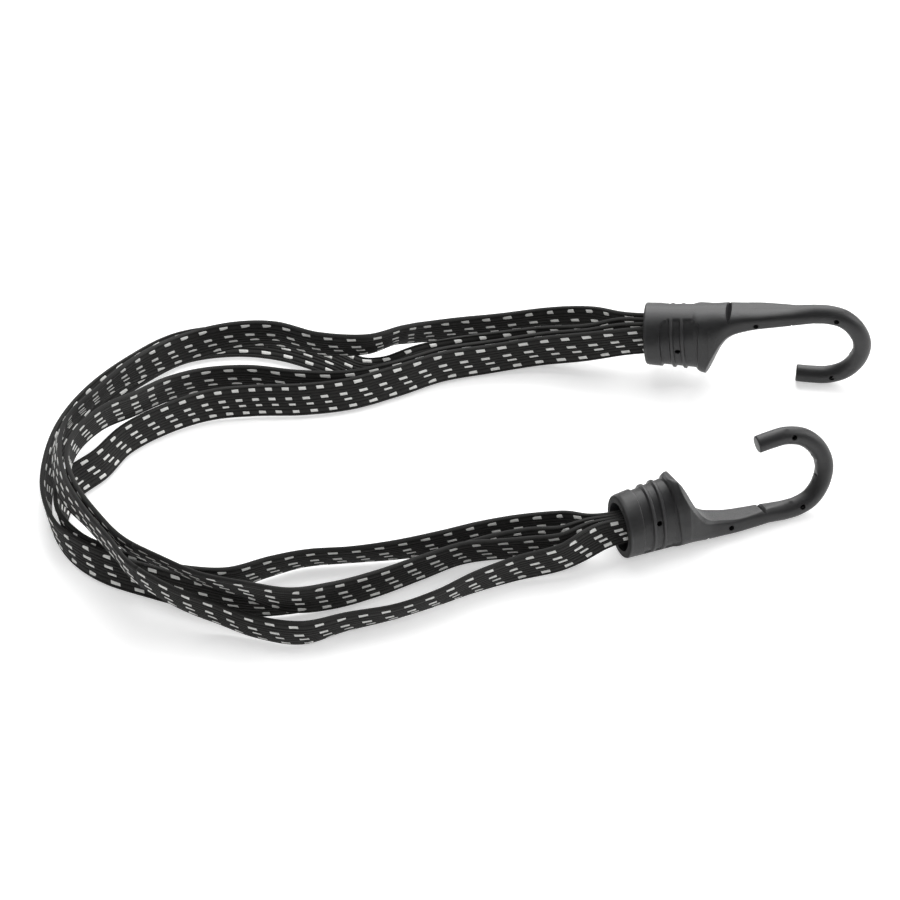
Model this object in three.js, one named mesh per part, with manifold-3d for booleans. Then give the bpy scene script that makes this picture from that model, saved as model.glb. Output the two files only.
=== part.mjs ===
// Flat elastic tie-down: four ribbed straps gathered at both ends into moulded hooks with a wire core.
// Millimetres, +Z up, floor at z = 0, X along the straps, Y away from the viewer.

import * as THREE from 'three';
import { mergeVertices } from 'three/addons/utils/BufferGeometryUtils.js';
import Module from 'manifold-3d';

const kernel = await Module();
kernel.setup();

// Strap
const strapWidth = 11;
const strapThickness = 1.5;
const strapSteps = 62;
const floorGap = 0.25;
const sectionCorner = 0.45;

// Fan of the four straps at a hook: depth behind the mouth of the socket, spacing of their middles.
const strapFan = [
  [16.5, 1.85],
  [8, 1.85],
  [0, 2.3],
  [-8, 3.0],
];

// Inside of the hook: a ferrule round the stacked straps, in a bore with a plain wall
const slotPitch = strapFan[0][1];
const strapClearance = 0.35;
const stackClearance = 0.425;
const ferruleStart = 8.6;
const ferruleLength = 8.8;
const ferruleWall = 0.8;
const ferruleCorner = 1.9;
const ferruleInnerCorner = 1.1;
const ferruleHalfHeight = strapWidth / 2 + strapClearance + ferruleWall;
const ferruleHalfWidth = 1.5 * slotPitch + strapThickness / 2 + stackClearance + ferruleWall;
const boreClearance = 0.46;
const boreRadius = Math.hypot(ferruleHalfHeight - ferruleCorner, ferruleHalfWidth - ferruleCorner)
  + ferruleCorner + boreClearance;
const boreDepth = 19.2;
const boreFacets = 20;
const socketWall = 2;

// Hook, measured along the pull axis from the mouth of the socket
const mouthRadius = boreRadius + socketWall;
const rimChamfer = 0.7;
const gripStart = 5.6;
const gripEnd = 15.9;
const gripDepth = 0.7;
const gripFlank = 0.45;
const ridgeWidth = 0.7;
const ridgePitch = 3.5;
const ridgeCount = 2;
const spineBandAngle = 0.36;
const bandBlendAngle = 0.12;
const ringPoints = 20;
const rodRadius = 3.15;
const tipRadius = 2.85;
const tipRounding = 0.5;
const loopSteps = 17;

// Wire core and its cavity, mould pin holes
const coreRadius = 1.25;
const cavityRadius = 1.85;
const coreTipInset = 3;
const cavityTipInset = 2.6;
const cavityLead = 1;
const coreFacets = 8;
const coreSteps = 26;
const pinHoleRadius = 0.9;
const pinHoleFloor = 1.2;
const pinHoleFacets = 8;
const cornerFacets = 5;

// Sections behind the grip: distance along, inner edge, half width across, squareness.
const bodySections = [
  [16.4, 25.0, 9.7, 2.1],
  [17.5, 25.1, 9.5, 2.2],
  [19.1, 23.4, 9.1, 2.3],
  [21.0, 19.5, 8.6, 2.4],
  [22.8, 15.5, 8.0, 2.6],
  [24.7, 11.7, 7.3, 2.8],
  [26.8, 8.8, 6.6, 3.1],
  [29.5, 7.1, 5.7, 3.4],
  [33.0, 6.2, 5.1, 3.7],
  [38.0, 5.3, 4.8, 3.9],
  [44.0, 5.2, 4.1, 3.4],
  [50.0, 5.5, 3.5, 2.6],
];
const socketInnerEnd = 25.0;
const heelNarrowing = 0.22;

// Centre of the round rod through the loop to the tip: distance along, distance from the spine line.
const loopCentre = [
  [55.8, 2.5],
  [60.8, 2.9],
  [65.6, 4.8],
  [69.3, 9.2],
  [70.9, 15.2],
  [69.0, 21.5],
  [64.4, 26.3],
  [58.5, 28.2],
  [53.5, 28.0],
  [48.9, 27.4],
];

// Centre of the wire core ahead of the loop.
const coreLead = [
  [19.6, 6.6],
  [24.0, 4.9],
  [30.0, 3.3],
  [37.0, 2.7],
  [46.0, 2.6],
];

// Blind mould pin holes of each face: distance along, distance from the spine line.
const frontPinHoles = [
  [10.8, 12.0],
  [36.1, 2.9],
  [61.6, 3.4],
  [60.3, 28.1],
];
const backPinHoles = [
  [11.7, 10.8],
  [37.0, 3.6],
  [63.3, 3.6],
  [60.4, 27.6],
];

// Flat seat on the inside of the loop's crown: depth of the cut, reach to both sides, cut ahead of it.
const crown = loopCentre[4];
const seat = { sink: 0.4, reach: 3, cut: 1.2 };

// Mould notches: distance along, edge they start from, depth, half width.
const spineNotch = { along: 28.0, from: 0, depth: 1.3, half: 1.0 };
const innerNotch = { along: 48.5, from: 5.4, depth: -0.9, half: 0.8 };

// Placing of the two hooks: mouth centre, heading, climb and lean in degrees
const farHook = { mouth: [64.8, 41.5, 15.5], heading: -6.5, climb: 5.9, lean: -1, opens: -1 };
const nearHook = { mouth: [53.4, -51, 11.0], heading: 20, climb: -0.6, lean: 16, opens: 1 };

// Routes of the straps, far hook to near hook: x, y, height of the lower edge in strap widths, lean in
// degrees toward the inside of the bend. Chosen by hand from the photograph.
const routes = {
  strap_a: {
    farSlot: 0,
    nearSlot: 3,
    stations: [
      [46, 51.1, 0.48, -16],
      [32.5, 56, 0.16, -7],
      [16, 56.5, 0, 2],
      [1.5, 56, 0, 11],
      [-10.5, 53, 0.16, 19],
      [-18, 48, 0.45, 25],
      [-28, 39, 0.71, 19],
      [-43, 39, 0.67, 11],
      [-58, 44, 0.62, 4],
      [-71.5, 42.5, 0.62, -3],
      [-85, 36.5, 0.64, -9],
      [-96.5, 27, 0.82, -5],
      [-107.5, 16.5, 1.02, 9],
      [-117.5, 5, 1.11, 21],
      [-126, -8.5, 1.11, 22],
      [-127, -23.5, 1.11, 14],
      [-123, -41, 1.11, 6],
      [-114, -54, 1.11, -11],
      [-104, -69.5, 1.11, -14],
      [-97.5, -79, 1.05, -17],
      [-85, -85, 0.64, -18],
      [-72, -88, 0.22, -14],
      [-60, -92, 0, -12],
      [-46, -95, 0, -11],
      [-33, -89, 0, -20],
      [-18.5, -83.5, 0, -27],
      [-5.5, -77.5, 0, -24],
      [7, -71, 0, -14],
      [21, -65.5, 0.04, -6],
      [35.5, -63, 0.24, -1],
    ],
  },
  strap_d: {
    farSlot: 1,
    nearSlot: 1,
    stations: [
      [45, 44.6, 0.48, 4],
      [30, 46, 0.16, -7],
      [16, 44, 0, -20],
      [4, 40.5, 0, -36],
      [-8, 37, 0, -53],
      [-19.5, 32, 0, -66],
      [-31, 31.5, 0, -66],
      [-43, 38.5, 0, -62],
      [-57, 45, 0, -58],
      [-71, 47, 0, -53],
      [-87.5, 43.5, 0, -47],
      [-102, 31.5, 0, -40],
      [-114.5, 16.5, 0, -32],
      [-123, 0.5, 0, -23],
      [-127.5, -16.5, 0, -15],
      [-128, -33.5, 0, -11],
      [-123.5, -49, 0, -8],
      [-117.5, -59, 0, 8],
      [-108.5, -66.9, 0, 20],
      [-94.5, -73.5, 0, 24],
      [-80, -79, 0, 18],
      [-65, -82, 0, 4],
      [-49.5, -80.5, 0, -13],
      [-33.5, -75.5, 0, -15],
      [-18, -67, 0, -17],
      [-2, -57.5, 0, -22],
      [12, -52, 0, -19],
      [25, -51, 0.03, -10],
      [36, -53.5, 0.14, 1],
    ],
  },
  strap_b: {
    farSlot: 2,
    nearSlot: 2,
    stations: [
      [45.5, 41.1, 0.48, -3],
      [30.5, 43, 0.16, -6],
      [14.5, 41, 0, -8],
      [-2, 36.5, 0, -12],
      [-18, 29, 0, -14],
      [-34, 24.5, 0, -11],
      [-50, 25.5, 0, -5],
      [-66, 29, 0, 1],
      [-80.5, 26.5, 0.14, 5],
      [-92.5, 18.5, 0.41, 7],
      [-103, 6, 0.78, 8],
      [-113, -5, 1.05, 8],
      [-120.5, -18.5, 1.11, 4],
      [-121.5, -31, 1.11, -2],
      [-117, -44, 1.11, -8],
      [-108, -57, 1.11, -17],
      [-99.5, -66.5, 1.11, -24],
      [-87.5, -73.5, 1.11, -31],
      [-75, -81, 1.09, -31],
      [-62.5, -86.5, 1.05, -22],
      [-50, -88.5, 0.73, -9],
      [-36.5, -83, 0.38, -1],
      [-22.5, -75.5, 0.25, -2],
      [-8.5, -67, 0.22, -6],
      [3.5, -60, 0.22, -12],
      [14, -57.5, 0.22, -17],
      [25, -57, 0.22, -13],
      [36, -56.5, 0.27, -9],
    ],
  },
  strap_c: {
    farSlot: 3,
    nearSlot: 0,
    stations: [
      [44.5, 38.6, 0.48, -5],
      [29.5, 40.5, 0.16, -6],
      [13.5, 38.5, 0, -8],
      [-2.5, 34, 0, -12],
      [-16.5, 26.5, 0, -18],
      [-32, 19.5, 0, -22],
      [-48, 16.5, 0, -22],
      [-64, 16, 0, -19],
      [-78, 14, 0, -16],
      [-91.5, 7.5, 0, -13],
      [-104, -3, 0, -15],
      [-111, -15.5, 0, -24],
      [-119.5, -26, 0, -28],
      [-122.5, -41, 0, -14],
      [-117, -55.5, 0, 4],
      [-107.5, -64.1, 0, 20],
      [-94, -70, 0, 18],
      [-81, -71.7, 0, 4],
      [-70, -70, 0, -9],
      [-57.5, -63.5, 0, -16],
      [-46, -58.5, 0, -23],
      [-31.5, -56.5, 0, -25],
      [-18, -55, 0, -19],
      [-4, -52.5, 0, -10],
      [10, -49, 0, -2],
      [23, -47, 0.02, 4],
      [35, -47, 0.08, 9],
    ],
  },
};

// Materials
const plastic = new THREE.MeshStandardMaterial({ name: 'moulded_plastic', color: 0x3c3c3e, roughness: 0.5 });
const steel = new THREE.MeshStandardMaterial({
  name: 'steel', color: 0x9a9c9e, roughness: 0.35, metalness: 1,
});
const webbing = new THREE.MeshStandardMaterial({ name: 'ribbed_webbing', color: 0x262626, roughness: 0.8 });

const radians = (degrees) => THREE.MathUtils.degToRad(degrees);

// Closed solid through a list of rings that all have the same number of points.
function loft(rings) {
  const count = rings[0].length;
  const positions = rings.flat().flatMap((point) => [point.x, point.y, point.z]);
  const index = [];
  for (let ring = 0; ring + 1 < rings.length; ring += 1) {
    for (let side = 0; side < count; side += 1) {
      const next = (side + 1) % count;
      const low = ring * count;
      const high = low + count;
      index.push(low + side, low + next, high + next);
      index.push(low + side, high + next, high + side);
    }
  }
  for (const [ring, flip] of [[0, true], [rings.length - 1, false]]) {
    const centre = rings[ring].reduce((sum, point) => sum.add(point), new THREE.Vector3());
    centre.divideScalar(count);
    const hub = positions.length / 3;
    positions.push(centre.x, centre.y, centre.z);
    for (let side = 0; side < count; side += 1) {
      const here = ring * count + side;
      const next = ring * count + ((side + 1) % count);
      index.push(...(flip ? [hub, next, here] : [hub, here, next]));
    }
  }
  const geometry = new THREE.BufferGeometry();
  geometry.setAttribute('position', new THREE.Float32BufferAttribute(positions, 3));
  geometry.setIndex(index);
  return geometry;
}

function toSolid(geometry) {
  const plain = geometry.clone();
  plain.deleteAttribute('normal');
  plain.deleteAttribute('uv');
  const welded = mergeVertices(plain, 1e-4);
  const solid = new kernel.Manifold(
    new kernel.Mesh({
      numProp: 3,
      vertProperties: new Float32Array(welded.attributes.position.array),
      triVerts: new Uint32Array(welded.index.array),
    }),
  );
  return solid;
}

function toGeometry(solid) {
  const mesh = solid.getMesh();
  const geometry = new THREE.BufferGeometry();
  geometry.setAttribute('position', new THREE.Float32BufferAttribute(mesh.vertProperties, 3));
  geometry.setIndex(Array.from(mesh.triVerts));
  const flat = geometry.toNonIndexed();
  flat.computeVertexNormals();
  return flat;
}

const power = (value, exponent) => Math.sign(value) * Math.abs(value) ** exponent;

// Section of the body in a plane across the axis: x along, y from the spine to the opening, z across.
function bodyRing(along, inner, halfWidth, squareness, inset) {
  const ring = [];
  const half = inner / 2;
  const bulge = Math.max(inner - 2 * mouthRadius, 0) / (socketInnerEnd - 2 * mouthRadius);
  for (let k = 0; k < ringPoints; k += 1) {
    const angle = (2 * Math.PI * k) / ringPoints;
    const fromSpine = Math.abs(Math.atan2(Math.sin(angle), -Math.cos(angle)));
    const share = THREE.MathUtils.smoothstep(fromSpine, spineBandAngle, spineBandAngle + bandBlendAngle);
    const y = half + power(Math.cos(angle), 2 / squareness) * (half - inset * share);
    const across = halfWidth - inset * share - halfWidth * heelNarrowing * bulge * (1 + Math.cos(angle)) / 2;
    ring.push(new THREE.Vector3(along, y, power(Math.sin(angle), 2 / squareness) * across));
  }
  return ring;
}

// Distances along and depth of the sunken grip with its raised ridges.
function gripLevels() {
  const levels = [[gripStart - gripFlank, 0], [gripStart, gripDepth]];
  for (let k = 1; k <= ridgeCount; k += 1) {
    const middle = gripStart + k * ridgePitch;
    const reach = ridgeWidth / 2;
    levels.push([middle - reach - gripFlank, gripDepth], [middle - reach, 0]);
    levels.push([middle + reach, 0], [middle + reach + gripFlank, gripDepth]);
  }
  levels.push([gripEnd - gripFlank, gripDepth]);
  return levels;
}

function hookBody() {
  const rings = [];
  const mouth = 2 * mouthRadius;
  const innerAt = (along) => mouth + ((socketInnerEnd - mouth) * along) / bodySections[0][0];
  rings.push(bodyRing(0, mouth, mouthRadius, 2, 0).map((p) => {
    const centre = new THREE.Vector3(0, mouthRadius, 0);
    return p.sub(centre).multiplyScalar(1 - rimChamfer / mouthRadius).add(centre);
  }));
  rings.push(bodyRing(rimChamfer, innerAt(rimChamfer), mouthRadius, 2, 0));
  for (const [along, inset] of gripLevels()) {
    rings.push(bodyRing(along, innerAt(along), mouthRadius, 2, inset));
  }
  for (const [along, inner, halfWidth, squareness] of bodySections) {
    rings.push(bodyRing(along, inner, halfWidth, squareness, 0));
  }
  const curve = new THREE.CatmullRomCurve3(loopCentre.map(([x, y]) => new THREE.Vector3(x, y, 0)));
  for (let step = 0; step <= loopSteps; step += 1) {
    const place = curve.getPointAt(step / loopSteps);
    const along = curve.getTangentAt(step / loopSteps);
    const outward = new THREE.Vector3(-along.y, along.x, 0);
    const radius = THREE.MathUtils.lerp(rodRadius, tipRadius, step / loopSteps);
    const ring = [];
    for (let k = 0; k < ringPoints; k += 1) {
      const angle = (2 * Math.PI * k) / ringPoints;
      const point = outward.clone().multiplyScalar(radius * Math.cos(angle));
      point.z = radius * Math.sin(angle);
      ring.push(point.add(place));
    }
    rings.push(ring);
  }
  const last = rings[rings.length - 1];
  const tip = curve.getPointAt(1);
  const tipAlong = curve.getTangentAt(1);
  rings.push(last.map((p) => p.clone().sub(tip).multiplyScalar(1 - tipRounding / tipRadius)
    .add(tip).addScaledVector(tipAlong, tipRounding)));
  return toSolid(loft(rings));
}

// The wire's centre line from the floor of the bore; its cavity starts earlier by the lead, in the bore.
function coreCurve(lead, tipInset) {
  const points = [...coreLead, ...loopCentre].map(([x, y]) => new THREE.Vector3(x, y, 0));
  if (lead > 0) points.unshift(points[0].clone().setX(points[0].x - lead));
  const full = new THREE.CatmullRomCurve3(points);
  const end = 1 - tipInset / full.getLength();
  const kept = [];
  for (let k = 0; k <= coreSteps; k += 1) {
    kept.push(full.getPointAt((end * k) / coreSteps));
  }
  return new THREE.CatmullRomCurve3(kept);
}

function disc(radius, facets) {
  const shape = new THREE.Shape();
  for (let k = 0; k < facets; k += 1) {
    const angle = (2 * Math.PI * k) / facets;
    const call = k === 0 ? 'moveTo' : 'lineTo';
    shape[call](radius * Math.cos(angle), radius * Math.sin(angle));
  }
  shape.closePath();
  return shape;
}

function wire(radius, lead, tipInset) {
  return new THREE.ExtrudeGeometry(disc(radius, coreFacets), {
    steps: coreSteps,
    bevelEnabled: false,
    extrudePath: coreCurve(lead, tipInset),
  });
}

function pinDrill(along, fromSpine, side) {
  const reach = 2 * mouthRadius;
  const drill = new THREE.CylinderGeometry(pinHoleRadius, pinHoleRadius, reach, pinHoleFacets);
  drill.rotateX(Math.PI / 2);
  drill.translate(along, fromSpine, side * (pinHoleFloor + reach / 2));
  return toSolid(drill);
}

function notchCutter({ along, from, depth, half }) {
  const shape = new THREE.Shape();
  shape.moveTo(along, from + depth);
  shape.lineTo(along - 2 * half, from - depth);
  shape.lineTo(along + 2 * half, from - depth);
  shape.closePath();
  const reach = 2 * mouthRadius;
  const cutter = new THREE.ExtrudeGeometry(shape, { depth: 2 * reach, bevelEnabled: false });
  cutter.translate(0, 0, -reach);
  return toSolid(cutter);
}

function seatCutter() {
  const cutter = new THREE.BoxGeometry(seat.cut, 2 * seat.reach, 2 * seat.reach);
  cutter.translate(crown[0] - rodRadius + seat.sink - seat.cut / 2, crown[1], 0);
  return toSolid(cutter);
}

function finishedHook() {
  const bore = new THREE.CylinderGeometry(boreRadius, boreRadius, 2 * boreDepth, boreFacets);
  bore.rotateZ(Math.PI / 2);
  bore.translate(0, mouthRadius, 0);
  let solid = hookBody().subtract(toSolid(bore));
  solid = solid.subtract(toSolid(wire(cavityRadius, cavityLead, cavityTipInset)));
  for (const [side, holes] of [[1, frontPinHoles], [-1, backPinHoles]]) {
    for (const [along, fromSpine] of holes) {
      solid = solid.subtract(pinDrill(along, fromSpine, side));
    }
  }
  solid = solid.subtract(notchCutter(spineNotch));
  solid = solid.subtract(notchCutter(innerNotch));
  solid = solid.subtract(seatCutter());
  return toGeometry(solid);
}

function roundedOutline(target, halfHeight, halfWidth, corner) {
  const turns = [[1, 1, 0], [-1, 1, 1], [-1, -1, 2], [1, -1, 3]];
  let first = true;
  for (const [sx, sy, quarter] of turns) {
    for (let k = 0; k <= cornerFacets; k += 1) {
      const angle = (Math.PI / 2) * (quarter + k / cornerFacets);
      const x = sx * (halfHeight - corner) + corner * Math.cos(angle);
      const y = sy * (halfWidth - corner) + corner * Math.sin(angle);
      if (first) target.moveTo(x, y);
      else target.lineTo(x, y);
      first = false;
    }
  }
  target.closePath();
  return target;
}

function ferrule() {
  const outline = roundedOutline(new THREE.Shape(), ferruleHalfWidth, ferruleHalfHeight, ferruleCorner);
  const inside = [ferruleHalfWidth - ferruleWall, ferruleHalfHeight - ferruleWall, ferruleInnerCorner];
  outline.holes.push(roundedOutline(new THREE.Path(), ...inside));
  const sleeve = new THREE.ExtrudeGeometry(outline, { depth: ferruleLength, bevelEnabled: false });
  sleeve.rotateY(Math.PI / 2);
  sleeve.translate(ferruleStart, mouthRadius, 0);
  return sleeve;
}

// Directions of a placed hook: along its axis, toward its opening, and across.
function hookFrame({ mouth, heading, climb, lean, opens }) {
  const along = new THREE.Vector3(
    Math.cos(radians(climb)) * Math.cos(radians(heading)),
    Math.cos(radians(climb)) * Math.sin(radians(heading)),
    Math.sin(radians(climb)),
  );
  const level = new THREE.Vector3(-Math.sin(radians(heading)), Math.cos(radians(heading)), 0);
  const upright = new THREE.Vector3().crossVectors(along, level);
  const opening = upright.clone().multiplyScalar(Math.cos(radians(lean)))
    .addScaledVector(level, Math.sin(radians(lean))).multiplyScalar(opens);
  const across = new THREE.Vector3().crossVectors(along, opening);
  const centre = new THREE.Vector3(...mouth);
  const origin = centre.clone().addScaledVector(opening, -mouthRadius);
  const matrix = new THREE.Matrix4().makeBasis(along, opening, across).setPosition(origin);
  return { along, opening, across, centre, matrix, opens };
}

// A strap's centre line that carries its own direction of width, so the section keeps the chosen lean.
class StrapPath extends THREE.CatmullRomCurve3 {
  constructor(points, uprights) {
    super(points, false, 'centripetal');
    this.widthAlong = new THREE.CatmullRomCurve3(uprights, false, 'catmullrom');
  }

  computeFrenetFrames(segments) {
    const frames = { tangents: [], normals: [], binormals: [] };
    for (let step = 0; step <= segments; step += 1) {
      const u = step / segments;
      const tangent = this.getTangentAt(u);
      const upright = this.widthAlong.getPoint(this.getUtoTmapping(u));
      const binormal = upright.addScaledVector(tangent, -upright.dot(tangent)).normalize();
      const normal = new THREE.Vector3().crossVectors(binormal, tangent).normalize();
      frames.tangents.push(tangent);
      frames.normals.push(normal);
      frames.binormals.push(binormal);
    }
    return frames;
  }
}

function slotPoint(frame, slot, depth, pitch) {
  const offset = (slot - (Object.keys(routes).length - 1) / 2) * pitch;
  return frame.centre.clone().addScaledVector(frame.along, depth)
    .addScaledVector(frame.across, offset * frame.opens);
}

function strapPath({ farSlot, nearSlot, stations }, far, near) {
  const points = [];
  const uprights = [];
  const farUp = far.opening.clone().multiplyScalar(far.opens);
  for (const [depth, pitch] of strapFan) {
    points.push(slotPoint(far, farSlot, depth, pitch));
    uprights.push(farUp.clone());
  }
  for (let k = 0; k < stations.length; k += 1) {
    const [x, y, height, lean] = stations[k];
    const before = stations[Math.max(k - 1, 0)];
    const after = stations[Math.min(k + 1, stations.length - 1)];
    const heading = new THREE.Vector3(after[0] - before[0], after[1] - before[1], 0).normalize();
    const inward = new THREE.Vector3(-heading.y, heading.x, 0);
    const upright = new THREE.Vector3(0, 0, Math.cos(radians(lean)))
      .addScaledVector(inward, Math.sin(radians(lean)));
    points.push(new THREE.Vector3(x, y, height * strapWidth + floorGap + strapThickness / 2)
      .addScaledVector(upright, strapWidth / 2));
    uprights.push(upright);
  }
  const nearUp = near.opening.clone().multiplyScalar(near.opens);
  for (const [depth, pitch] of [...strapFan].reverse()) {
    points.push(slotPoint(near, nearSlot, depth, pitch));
    uprights.push(nearUp.clone());
  }
  return new StrapPath(points, uprights);
}

function strapSection() {
  const shape = new THREE.Shape();
  const halfT = strapThickness / 2;
  const halfW = strapWidth / 2;
  const corner = sectionCorner;
  const corners = [
    [halfT, halfW - corner], [halfT - corner, halfW], [corner - halfT, halfW], [-halfT, halfW - corner],
    [-halfT, corner - halfW], [corner - halfT, -halfW], [halfT - corner, -halfW], [halfT, corner - halfW],
  ];
  corners.forEach(([x, y], k) => shape[k === 0 ? 'moveTo' : 'lineTo'](x, y));
  shape.closePath();
  return shape;
}

const far = hookFrame(farHook);
const near = hookFrame(nearHook);
const pieces = [];

for (const [side, frame] of [['far', far], ['near', near]]) {
  const parts = [
    ['hook', finishedHook(), plastic],
    ['core', wire(coreRadius, 0, coreTipInset), steel],
    ['ferrule', ferrule(), steel],
  ];
  for (const [name, geometry, material] of parts) {
    geometry.applyMatrix4(frame.matrix);
    pieces.push({ name: `${name}_${side}`, geometry, material, placesFrame: name === 'hook' });
  }
}

for (const [name, route] of Object.entries(routes)) {
  const geometry = new THREE.ExtrudeGeometry(strapSection(), {
    steps: strapSteps,
    bevelEnabled: false,
    extrudePath: strapPath(route, far, near),
  });
  pieces.push({ name, geometry, material: webbing, placesFrame: false });
}

// The frame's origin is the middle of the two hooks' footprint, on the floor.
const box = new THREE.Box3();
for (const { geometry, placesFrame } of pieces) {
  if (placesFrame) {
    geometry.computeBoundingBox();
    box.union(geometry.boundingBox);
  }
}
const middle = box.getCenter(new THREE.Vector3());

const group = new THREE.Group();
group.name = 'flat_elastic_tie_down';
for (const { name, geometry, material } of pieces) {
  geometry.translate(-middle.x, -middle.y, -box.min.z);
  const mesh = new THREE.Mesh(geometry, material);
  mesh.name = name;
  group.add(mesh);
}

export default group;
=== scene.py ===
"""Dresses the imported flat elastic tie-down.

Four ribbed elastic straps with white tracer dashes are gathered at both ends into moulded plastic
hooks. Lengths in the tables are millimetres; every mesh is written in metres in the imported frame.
"""
import logging
import math
from dataclasses import dataclass, field
from enum import Enum

import bmesh
import bpy
import numpy as np
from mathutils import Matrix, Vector


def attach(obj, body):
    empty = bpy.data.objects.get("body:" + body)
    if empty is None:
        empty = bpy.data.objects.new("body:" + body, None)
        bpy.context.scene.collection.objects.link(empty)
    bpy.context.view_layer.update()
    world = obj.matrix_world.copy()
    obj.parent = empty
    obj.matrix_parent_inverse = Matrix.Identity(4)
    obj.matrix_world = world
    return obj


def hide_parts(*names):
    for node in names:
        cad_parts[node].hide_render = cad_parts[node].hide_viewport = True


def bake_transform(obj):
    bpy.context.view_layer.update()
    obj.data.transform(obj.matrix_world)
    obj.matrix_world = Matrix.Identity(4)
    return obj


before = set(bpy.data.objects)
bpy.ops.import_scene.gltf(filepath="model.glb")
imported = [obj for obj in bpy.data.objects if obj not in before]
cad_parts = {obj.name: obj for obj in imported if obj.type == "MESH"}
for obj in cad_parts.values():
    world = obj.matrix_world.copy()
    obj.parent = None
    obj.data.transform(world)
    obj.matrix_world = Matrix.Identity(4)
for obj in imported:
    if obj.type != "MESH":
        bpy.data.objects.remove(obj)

LOG = logging.getLogger("tie_down")
MM = 0.001

# Middle of the two hooks' footprint and their lowest point, taken off every placed length
MIDDLE = np.array([94.3185, -4.3995, 0.1164])


@dataclass(frozen=True)
class StrapSizes:
    """Sizes of a strap in millimetres; shares are of its width, counted from its upper edge.

    The ribs lie between the rib edges, and a tracer row lies on each tracer rib, as broad as its share of
    the rib. A fan holds the depth behind a socket's mouth and the distance between neighbouring straps
    there. Close to the near mouth the straps are squeezed narrower by the gather.
    """

    width: float = 11.0
    thickness: float = 1.5
    floor_gap: float = 0.25
    rib_depth: float = 0.2
    rib_steps: int = 7
    rib_crown: float = 2.5
    rib_edges: tuple = (0.0, 0.07, 0.215, 0.30, 0.385, 0.49, 0.57, 0.665, 0.765, 0.91, 1.0)
    edge_rounding: float = 0.5
    tracer_ribs: tuple = (1, 4, 6, 8)
    tracer_breadth: tuple = (0.80, 0.86, 0.76, 0.78)
    dash_share: float = 0.40
    row_shift: float = 0.2
    back_shift: float = 0.25
    far_fan: tuple = ((16.5, 1.85), (8.0, 1.85), (0.0, 2.3), (-8.0, 3.0))
    near_fan: tuple = ((16.5, 1.75), (8.0, 1.75), (0.0, 1.8), (-8.0, 2.6))
    gather: float = 0.2
    gather_length: float = 16.0


@dataclass(frozen=True)
class HookSizes:
    """Sizes of the moulded hook in millimetres, in its own frame: along, from the spine, across.

    A body section holds the distance along, inner edge, half width, squareness, flat cut of the inner
    side and half width of that flat. A notch holds the place along, edge, depth and half width. A flash
    mark holds the share of the loop, turn round the rod and height.
    """

    mouth_radius: float = 9.8994
    rim_chamfer: float = 0.7
    rim_flare: float = 0.035
    bore_radius: float = 7.8994
    bore_depth: float = 19.2
    bore_lead: float = 4.0
    grip_start: float = 5.6
    grip_end: float = 15.9
    grip_end_lean: float = 3.4
    grip_depth: float = 0.7
    grip_flank: float = 0.45
    grip_corner: float = 3.4
    ridge_width: float = 0.7
    ridge_pitch: float = 3.5
    ridge_count: int = 2
    spine_band_angle: float = 0.42
    socket_inner_end: float = 23.6
    heel_narrowing: float = 0.22
    flat_softness: float = 0.14
    bevel_slope: float = 0.9
    rod_radius: float = 3.15
    tip_radius: float = 2.85
    tip_rounding: float = 0.5
    cavity_radius: float = 1.85
    cavity_tip_inset: float = 2.6
    pin_hole_radius: float = 0.9
    pin_hole_floor: float = 1.2
    flash_spread: float = 0.55
    flash_loop_length: float = 52.0
    flash_rod_radius: float = 3.0
    sharp_angle: float = 34.0
    body_sections: tuple = (
        (16.3, 23.5, 9.7, 2.2, 0.0, 9.0),
        (17.6, 23.6, 9.6, 2.5, 0.03, 6.2),
        (18.8, 23.2, 9.4, 2.6, 0.06, 5.2),
        (19.8, 22.2, 9.2, 2.6, 0.12, 4.8),
        (20.8, 20.6, 8.9, 2.6, 0.18, 4.6),
        (22.0, 18.2, 8.4, 2.6, 0.24, 4.6),
        (23.4, 15.0, 7.9, 2.6, 0.30, 4.8),
        (25.1, 11.6, 7.2, 2.7, 0.32, 4.9),
        (27.1, 8.8, 6.5, 2.9, 0.28, 4.9),
        (29.5, 7.1, 5.8, 3.1, 0.22, 4.8),
        (33.0, 6.2, 5.2, 3.4, 0.18, 4.4),
        (38.0, 5.3, 4.9, 3.5, 0.16, 4.2),
        (44.0, 5.2, 4.2, 3.2, 0.13, 3.9),
        (50.0, 5.5, 3.5, 2.5, 0.05, 3.5),
    )
    loop_centre: tuple = (
        (55.8, 2.5), (60.8, 2.9), (65.6, 4.8), (69.3, 9.2), (70.9, 15.2),
        (69.0, 21.5), (64.4, 26.3), (58.5, 28.2), (53.5, 28.0), (48.9, 27.4),
    )
    core_lead: tuple = ((18.6, 6.6), (19.6, 6.6), (24.0, 4.9), (30.0, 3.3), (37.0, 2.7), (46.0, 2.6))
    front_pin_holes: tuple = ((10.8, 12.0), (36.1, 2.9), (61.6, 3.4), (60.3, 28.1))
    back_pin_holes: tuple = ((10.9, 11.0), (37.0, 3.6), (63.3, 3.6), (60.4, 27.6))
    notches: tuple = ((28.0, 0.0, 1.9, 1.0), (48.5, 5.4, -1.1, 0.8))
    wedge_reach: float = 12.0
    seat_block: tuple = ((66.95, 12.2, -3.0), (67.9, 18.2, 3.0))
    flash_marks: tuple = ((0.05, 0.35, 0.30), (0.55, 0.15, 0.22), (0.82, 2.75, 0.25), (0.30, 0.1, 0.2))


STRAP = StrapSizes()
HOOK = HookSizes()

# Where the straps change from their far to their near length, in metres
CUT_PLACE = -0.192

# Materials of the finished pieces, filled in by main
FINISHES: dict[str, bpy.types.Material] = {}


class Body(Enum):
    """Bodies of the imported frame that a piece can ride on."""

    CORD = "cord"
    NEAR_HOOK = "near_hook"


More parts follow.
